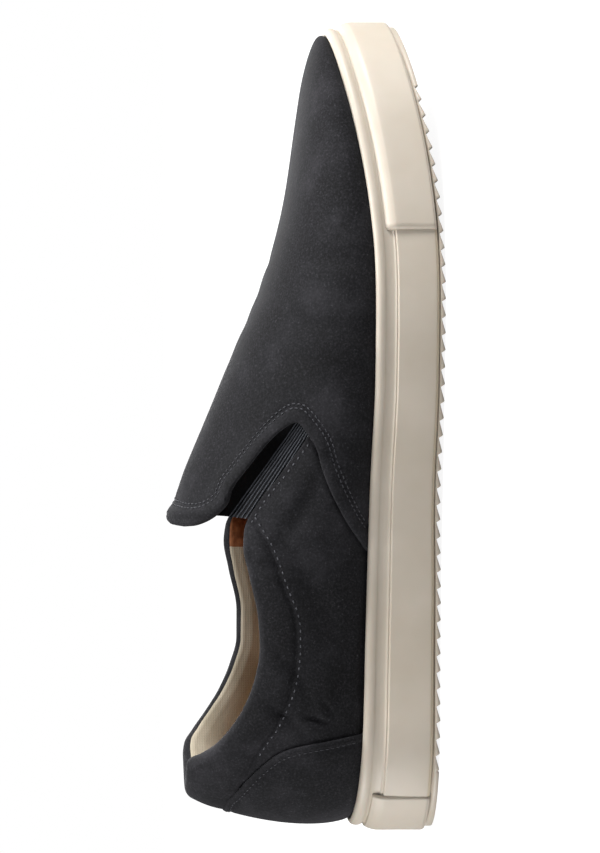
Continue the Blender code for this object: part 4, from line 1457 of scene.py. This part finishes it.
class SHOE_OT_outsole(bpy.types.Operator):
    """Makes the tread plate, whose teeth Geometry Nodes press in"""

    bl_idname = "shoe.outsole"
    bl_label = "Tread"

    def execute(self, context):
        start, end = float(side_x(0.08)), float(side_x(0.913))
        pitch = (end - start) / round((end - start) / context.scene.shoe_looks.tooth_pitch)
        tips = (SOLE_LENGTH / 2 - TREAD_INSET) * np.cos(np.radians(np.linspace(1, 30, 14)))
        inner = np.arange(start - 4 * pitch, end + 3 * pitch, pitch / 12)
        inner = inner[np.abs(inner) < tips[-1]]
        x = np.unique(np.concatenate([-tips, inner, tips]))
        ring = np.linspace(0, 0.5, 1200)
        sides = inset_point(ring, TREAD_INSET), inset_point(-ring, TREAD_INSET)
        left, right = (np.interp(x, line[:, 0], line[:, 1]) for line in sides)
        low = spring(share_at(x))
        high = low + TREAD_THICK
        # Half of the section: share of the width, height, and how far the teeth reach it
        half = (
            (0.03, high + 1.5 * MM, 0),
            (0.012, high, 0),
            (0.0, high - 0.25 * MM, 0),
            (0.0, low + 0.35 * MM, 0.8),
            (0.004, low + 0.08 * MM, 1),
            (0.02, low, 1),
            (0.3, low, 1),
        )
        mirrored = [(1 - across, height, mark) for across, height, mark in reversed(half)]
        rows, under = [], []
        for across, height, mark in (*half, (0.5, low, 1), *mirrored):
            rows.append(np.column_stack([x, left + (right - left) * across, height]))
            under.append(np.full(len(x), mark, float))
        faces = grid_faces(len(rows), len(x))
        faces += [tuple(r * len(x) + c for r in range(len(rows))) for c in (0, len(x) - 1)]
        made = mesh_piece("outsole", np.stack(rows), faces, ["rubber"])
        layer = made.data.attributes.new("under", "FLOAT", "POINT")
        layer.data.foreach_set("value", np.concatenate(under).astype(np.float32))
        teeth = {"Start": start, "End": end, "Pitch": pitch, "Depth": TOOTH_DEPTH, "Return": TOOTH_RETURN}
        run_tree(made, teeth_tree, Rubber=finish("rubber"), **teeth)
        settle(made, "rubber_cream", "outsole")
        return {"FINISHED"}


class SHOE_OT_insole(bpy.types.Operator):
    """Makes the brown leather footbed"""

    bl_idname = "shoe.insole"
    bl_label = "Insole"

    def execute(self, context):
        turns = np.linspace(0.001, 0.499, 240)
        edge = RIM_LEDGE + FEATHER_GAP + UPPER_WALL + GAP
        lateral, medial = inset_point(turns, edge), inset_point(-turns, edge)
        across = 0.5 * (1 - np.cos(np.pi * np.linspace(0, 1, 70)))
        share = turn_share(turns)
        grid = lateral[:, None, :] + (medial - lateral)[:, None, :] * across[None, :, None]
        width = np.linalg.norm(medial - lateral, axis=1)[:, None]
        wall = np.minimum(across, 1 - across)[None, :] * width
        dish = -2.2 * MM * smooth(0, 24 * MM, wall) * smooth(0.62, 0.10, share)[:, None]
        round_off = -1.4 * MM * (1 - smooth(0, 2.4 * MM, wall))
        toe_marks = -0.5 * MM * smooth(0.5, 0.68, share)[:, None] * smooth(4 * MM, 16 * MM, wall)
        base = (spring(share) + cup_floor(share))[:, None] + GAP + INSOLE_THICK
        points = np.concatenate([grid, (base + dish + round_off + toe_marks)[..., None]], -1)
        made = mesh_piece("insole", points, grid_faces(*wall.shape), ["leather"])
        settle(made, "leather_brown", "insole")
        return {"FINISHED"}


def vamp_stitches():
    """The rows along the vamp's edge, where they lie above the rim."""
    lines = []
    for distance in STITCH_ROWS:
        path = evenly(offset_line(evenly(VAMP_EDGE, 1.5 * MM), distance), 1 * MM)
        turn, angle = from_arc(path[:, 0], path[:, 1])
        place = skin(turn, angle, flap_offset(turn, angle) + 0.02 * MM)
        share = share_at(place[:, 0])
        shown = place[:, 2] > spring(share) + rim_rise(share) + 1.5 * MM
        shown &= np.abs(last_point(turn, angle)[:, 0] - path[:, 0]) < 1 * MM
        lines.append((place[shown], last_normal(turn, angle)[shown]))
    return lines


def counter_stitches():
    """The row inside the counter's edge: up both sides, then over the back."""
    line = curve_through([(side_x(share), height * BACK_HEIGHT) for share, height in COUNTER_LINE], 120)
    line = offset_line(line, COUNTER_STITCHES)
    steep = line[(line[:, 1] > 31 * MM) & (line[:, 0] > side_x(0.075))]
    lines = [surface_line(steep, side, GAP + COUNTER_WALL) for side in ("lateral", "medial")]
    turn = np.linspace(share_turn(0.11, "medial"), share_turn(0.11, "lateral"), 400)
    height = np.full(400, 72 * MM)
    for _ in range(12):
        angle = angle_at_height(turn, height)
        x = last_point(turn, angle)[:, 0]
        height = np.interp(x, line[::-1, 0], line[::-1, 1])
    flat = x < side_x(0.076)
    turn, angle = turn[flat], angle[flat]
    lines.append((skin(turn, angle, GAP + COUNTER_WALL), last_normal(turn, angle)))
    return lines


def collar_stitches():
    """The rows along the slots' edges and under the padded collar."""
    lines = []
    # Line, how far below it, from share to share, points
    for line, down, first, last, count in (
        (COLLAR_LINE, 2.3 * MM, 0.386, 0.494, 160),
        (COLLAR_SEAM, 1.6 * MM, 0.39, 0.097, 400),
    ):
        for side in ("lateral", "medial"):
            turn = np.linspace(share_turn(first, side), share_turn(last, side), count)
            angle = angle_at_height(turn, line_height(line, turn) - down)
            if line is COLLAR_LINE:
                sunk = 0.05 * MM - 0.9 * WING_SINK * smooth(0.350, 0.405, turn_share(turn))
            else:
                sunk = -0.05 * MM
            lines.append((skin(turn, angle, sunk), last_normal(turn, angle)))
    return lines


class SHOE_OT_stitches(bpy.types.Operator):
    """Sews the seams: Geometry Nodes lay the stitches along each line"""

    bl_idname = "shoe.stitches"
    bl_label = "Stitches"

    def execute(self, context):
        looks = context.scene.shoe_looks
        fine = looks.stitch_pitch * 0.74
        # Name, lines, thread, pitch, share of the pitch that a stitch covers
        for name, lines, thread, pitch, cover in (
            ("seam_stitches", vamp_stitches() + counter_stitches(), "grey_thread", fine, 0.70),
            ("collar_stitches", collar_stitches(), "pale_thread", looks.stitch_pitch, 0.42),
        ):
            made = line_object(name, lines)
            sizes = {"Pitch": pitch, "Stitch_length": pitch * cover, "Thread_width": looks.thread_width}
            run_tree(made, stitch_tree, Thread=finish(thread), **sizes)
            settle(made, "suede_black")
        return {"FINISHED"}


# The lamps: name, place, aim, size, watts
LIGHTS = (
    ("key", (1.25, -0.36, 0.42), (0.0, 0, 0.03), (0.35, 0.35), 20),
    ("top", (0.25, -0.05, 1.1), (0, 0, 0.04), (0.7, 0.6), 17),
    ("inner side", (0.3, 1.0, 0.5), (0, 0, 0.04), (0.7, 0.5), 7),
    ("heel", (-1.0, -0.30, 0.30), (-0.08, 0, 0.04), (0.5, 0.5), 8),
)
SKY_LIGHT = 0.09
FLOOR_REACH = 4.0
CAMERA_AIM = (0.0, 0.0, 0.0485)
CAMERA_DISTANCE = 1.1
CAMERA_ELEVATION = math.radians(4)
HALF_FRAME = 0.1578


def area_light(name, place, aim, size, power):
    """A white lamp that looks at its aim."""
    light = bpy.data.lights.new(name, "AREA")
    light.shape = "RECTANGLE"
    light.size, light.size_y = size
    light.energy = power
    made = bpy.data.objects.new(name, light)
    bpy.context.scene.collection.objects.link(made)
    made.location = place
    made.rotation_euler = (Vector(aim) - Vector(place)).to_track_quat("-Z", "Y").to_euler()


def white_sky():
    """A sky that is white to the camera and dimmer as a light, so that the shoe keeps its shading."""
    world = bpy.data.worlds.new("studio")
    world.use_nodes = True
    tree = world.node_tree
    lit = tree.nodes["Background"]
    lit.inputs["Color"].default_value = (1, 1, 1, 1)
    lit.inputs["Strength"].default_value = SKY_LIGHT
    seen = node(tree, "ShaderNodeBackground", Color=(1, 1, 1, 1), Strength=1.0)
    ray = node(tree, "ShaderNodeLightPath").outputs["Is Camera Ray"]
    both = node(tree, "ShaderNodeMixShader", i0=ray, i1=lit.outputs[0], i2=seen.outputs[0])
    tree.links.new(both.outputs[0], tree.nodes["World Output"].inputs["Surface"])
    return world


def side_camera():
    """A camera at the lateral side, turned so that the toe points up in the picture."""
    camera = bpy.data.cameras.new("camera")
    made = bpy.data.objects.new("camera", camera)
    bpy.context.scene.collection.objects.link(made)
    camera.sensor_fit = "VERTICAL"
    camera.angle = 2 * math.atan(HALF_FRAME / CAMERA_DISTANCE)
    back = Vector((0, -math.cos(CAMERA_ELEVATION), math.sin(CAMERA_ELEVATION)))
    up = Vector((1, 0, 0))
    turned = Matrix((up.cross(back), up, back)).transposed().to_4x4()
    made.matrix_world = Matrix.Translation(Vector(CAMERA_AIM) + back * CAMERA_DISTANCE) @ turned
    return made


class SHOE_OT_stage(bpy.types.Operator):
    """Lays the floor, the lights and the camera"""

    bl_idname = "shoe.stage"
    bl_label = "Floor, lights and camera"

    def execute(self, context):
        corners = ((-1, -1, 0), (1, -1, 0), (1, 1, 0), (-1, 1, 0))
        floor = mesh_piece("floor", np.array(corners) * FLOOR_REACH, [(0, 1, 2, 3)], ["floor"])
        scene = context.scene
        scene.world = white_sky()
        for light in LIGHTS:
            area_light(*light)
        scene.camera = side_camera()
        scene.view_settings.view_transform = "Standard"
        return {"FINISHED"}


OPERATORS = (
    SHOE_OT_outsole,
    SHOE_OT_cupsole,
    SHOE_OT_strips,
    SHOE_OT_insole,
    SHOE_OT_quarters,
    SHOE_OT_vamp,
    SHOE_OT_counter,
    SHOE_OT_gores,
    SHOE_OT_stitches,
    SHOE_OT_stage,
)


class SHOE_PT_panel(bpy.types.Panel):
    """Lists the pieces of the sneaker"""

    bl_idname = "SHOE_PT_panel"
    bl_label = "Sneaker"
    bl_space_type = "VIEW_3D"
    bl_region_type = "UI"
    bl_category = "Sneaker"

    def draw(self, context):
        looks = context.scene.shoe_looks
        for name in ShoeLooks.__annotations__:
            self.layout.prop(looks, name)
        for operator in OPERATORS:
            self.layout.operator(operator.bl_idname)


def register():
    """Adds the sizes, the operators and the panel."""
    for one in (ShoeLooks, *OPERATORS, SHOE_PT_panel):
        bpy.utils.register_class(one)
    bpy.types.Scene.shoe_looks = bpy.props.PointerProperty(type=ShoeLooks)


def unregister():
    """Takes them out again."""
    del bpy.types.Scene.shoe_looks
    for one in reversed((ShoeLooks, *OPERATORS, SHOE_PT_panel)):
        bpy.utils.unregister_class(one)


def main():
    """Makes the pieces and the stage."""
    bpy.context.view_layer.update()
    register()
    bpy.ops.shoe.outsole()
    bpy.ops.shoe.cupsole()
    bpy.ops.shoe.strips()
    bpy.ops.shoe.insole()
    bpy.ops.shoe.quarters()
    bpy.ops.shoe.vamp()
    bpy.ops.shoe.counter()
    bpy.ops.shoe.gores()
    bpy.ops.shoe.stitches()
    bpy.ops.shoe.stage()


if __name__ == "__main__":
    main()
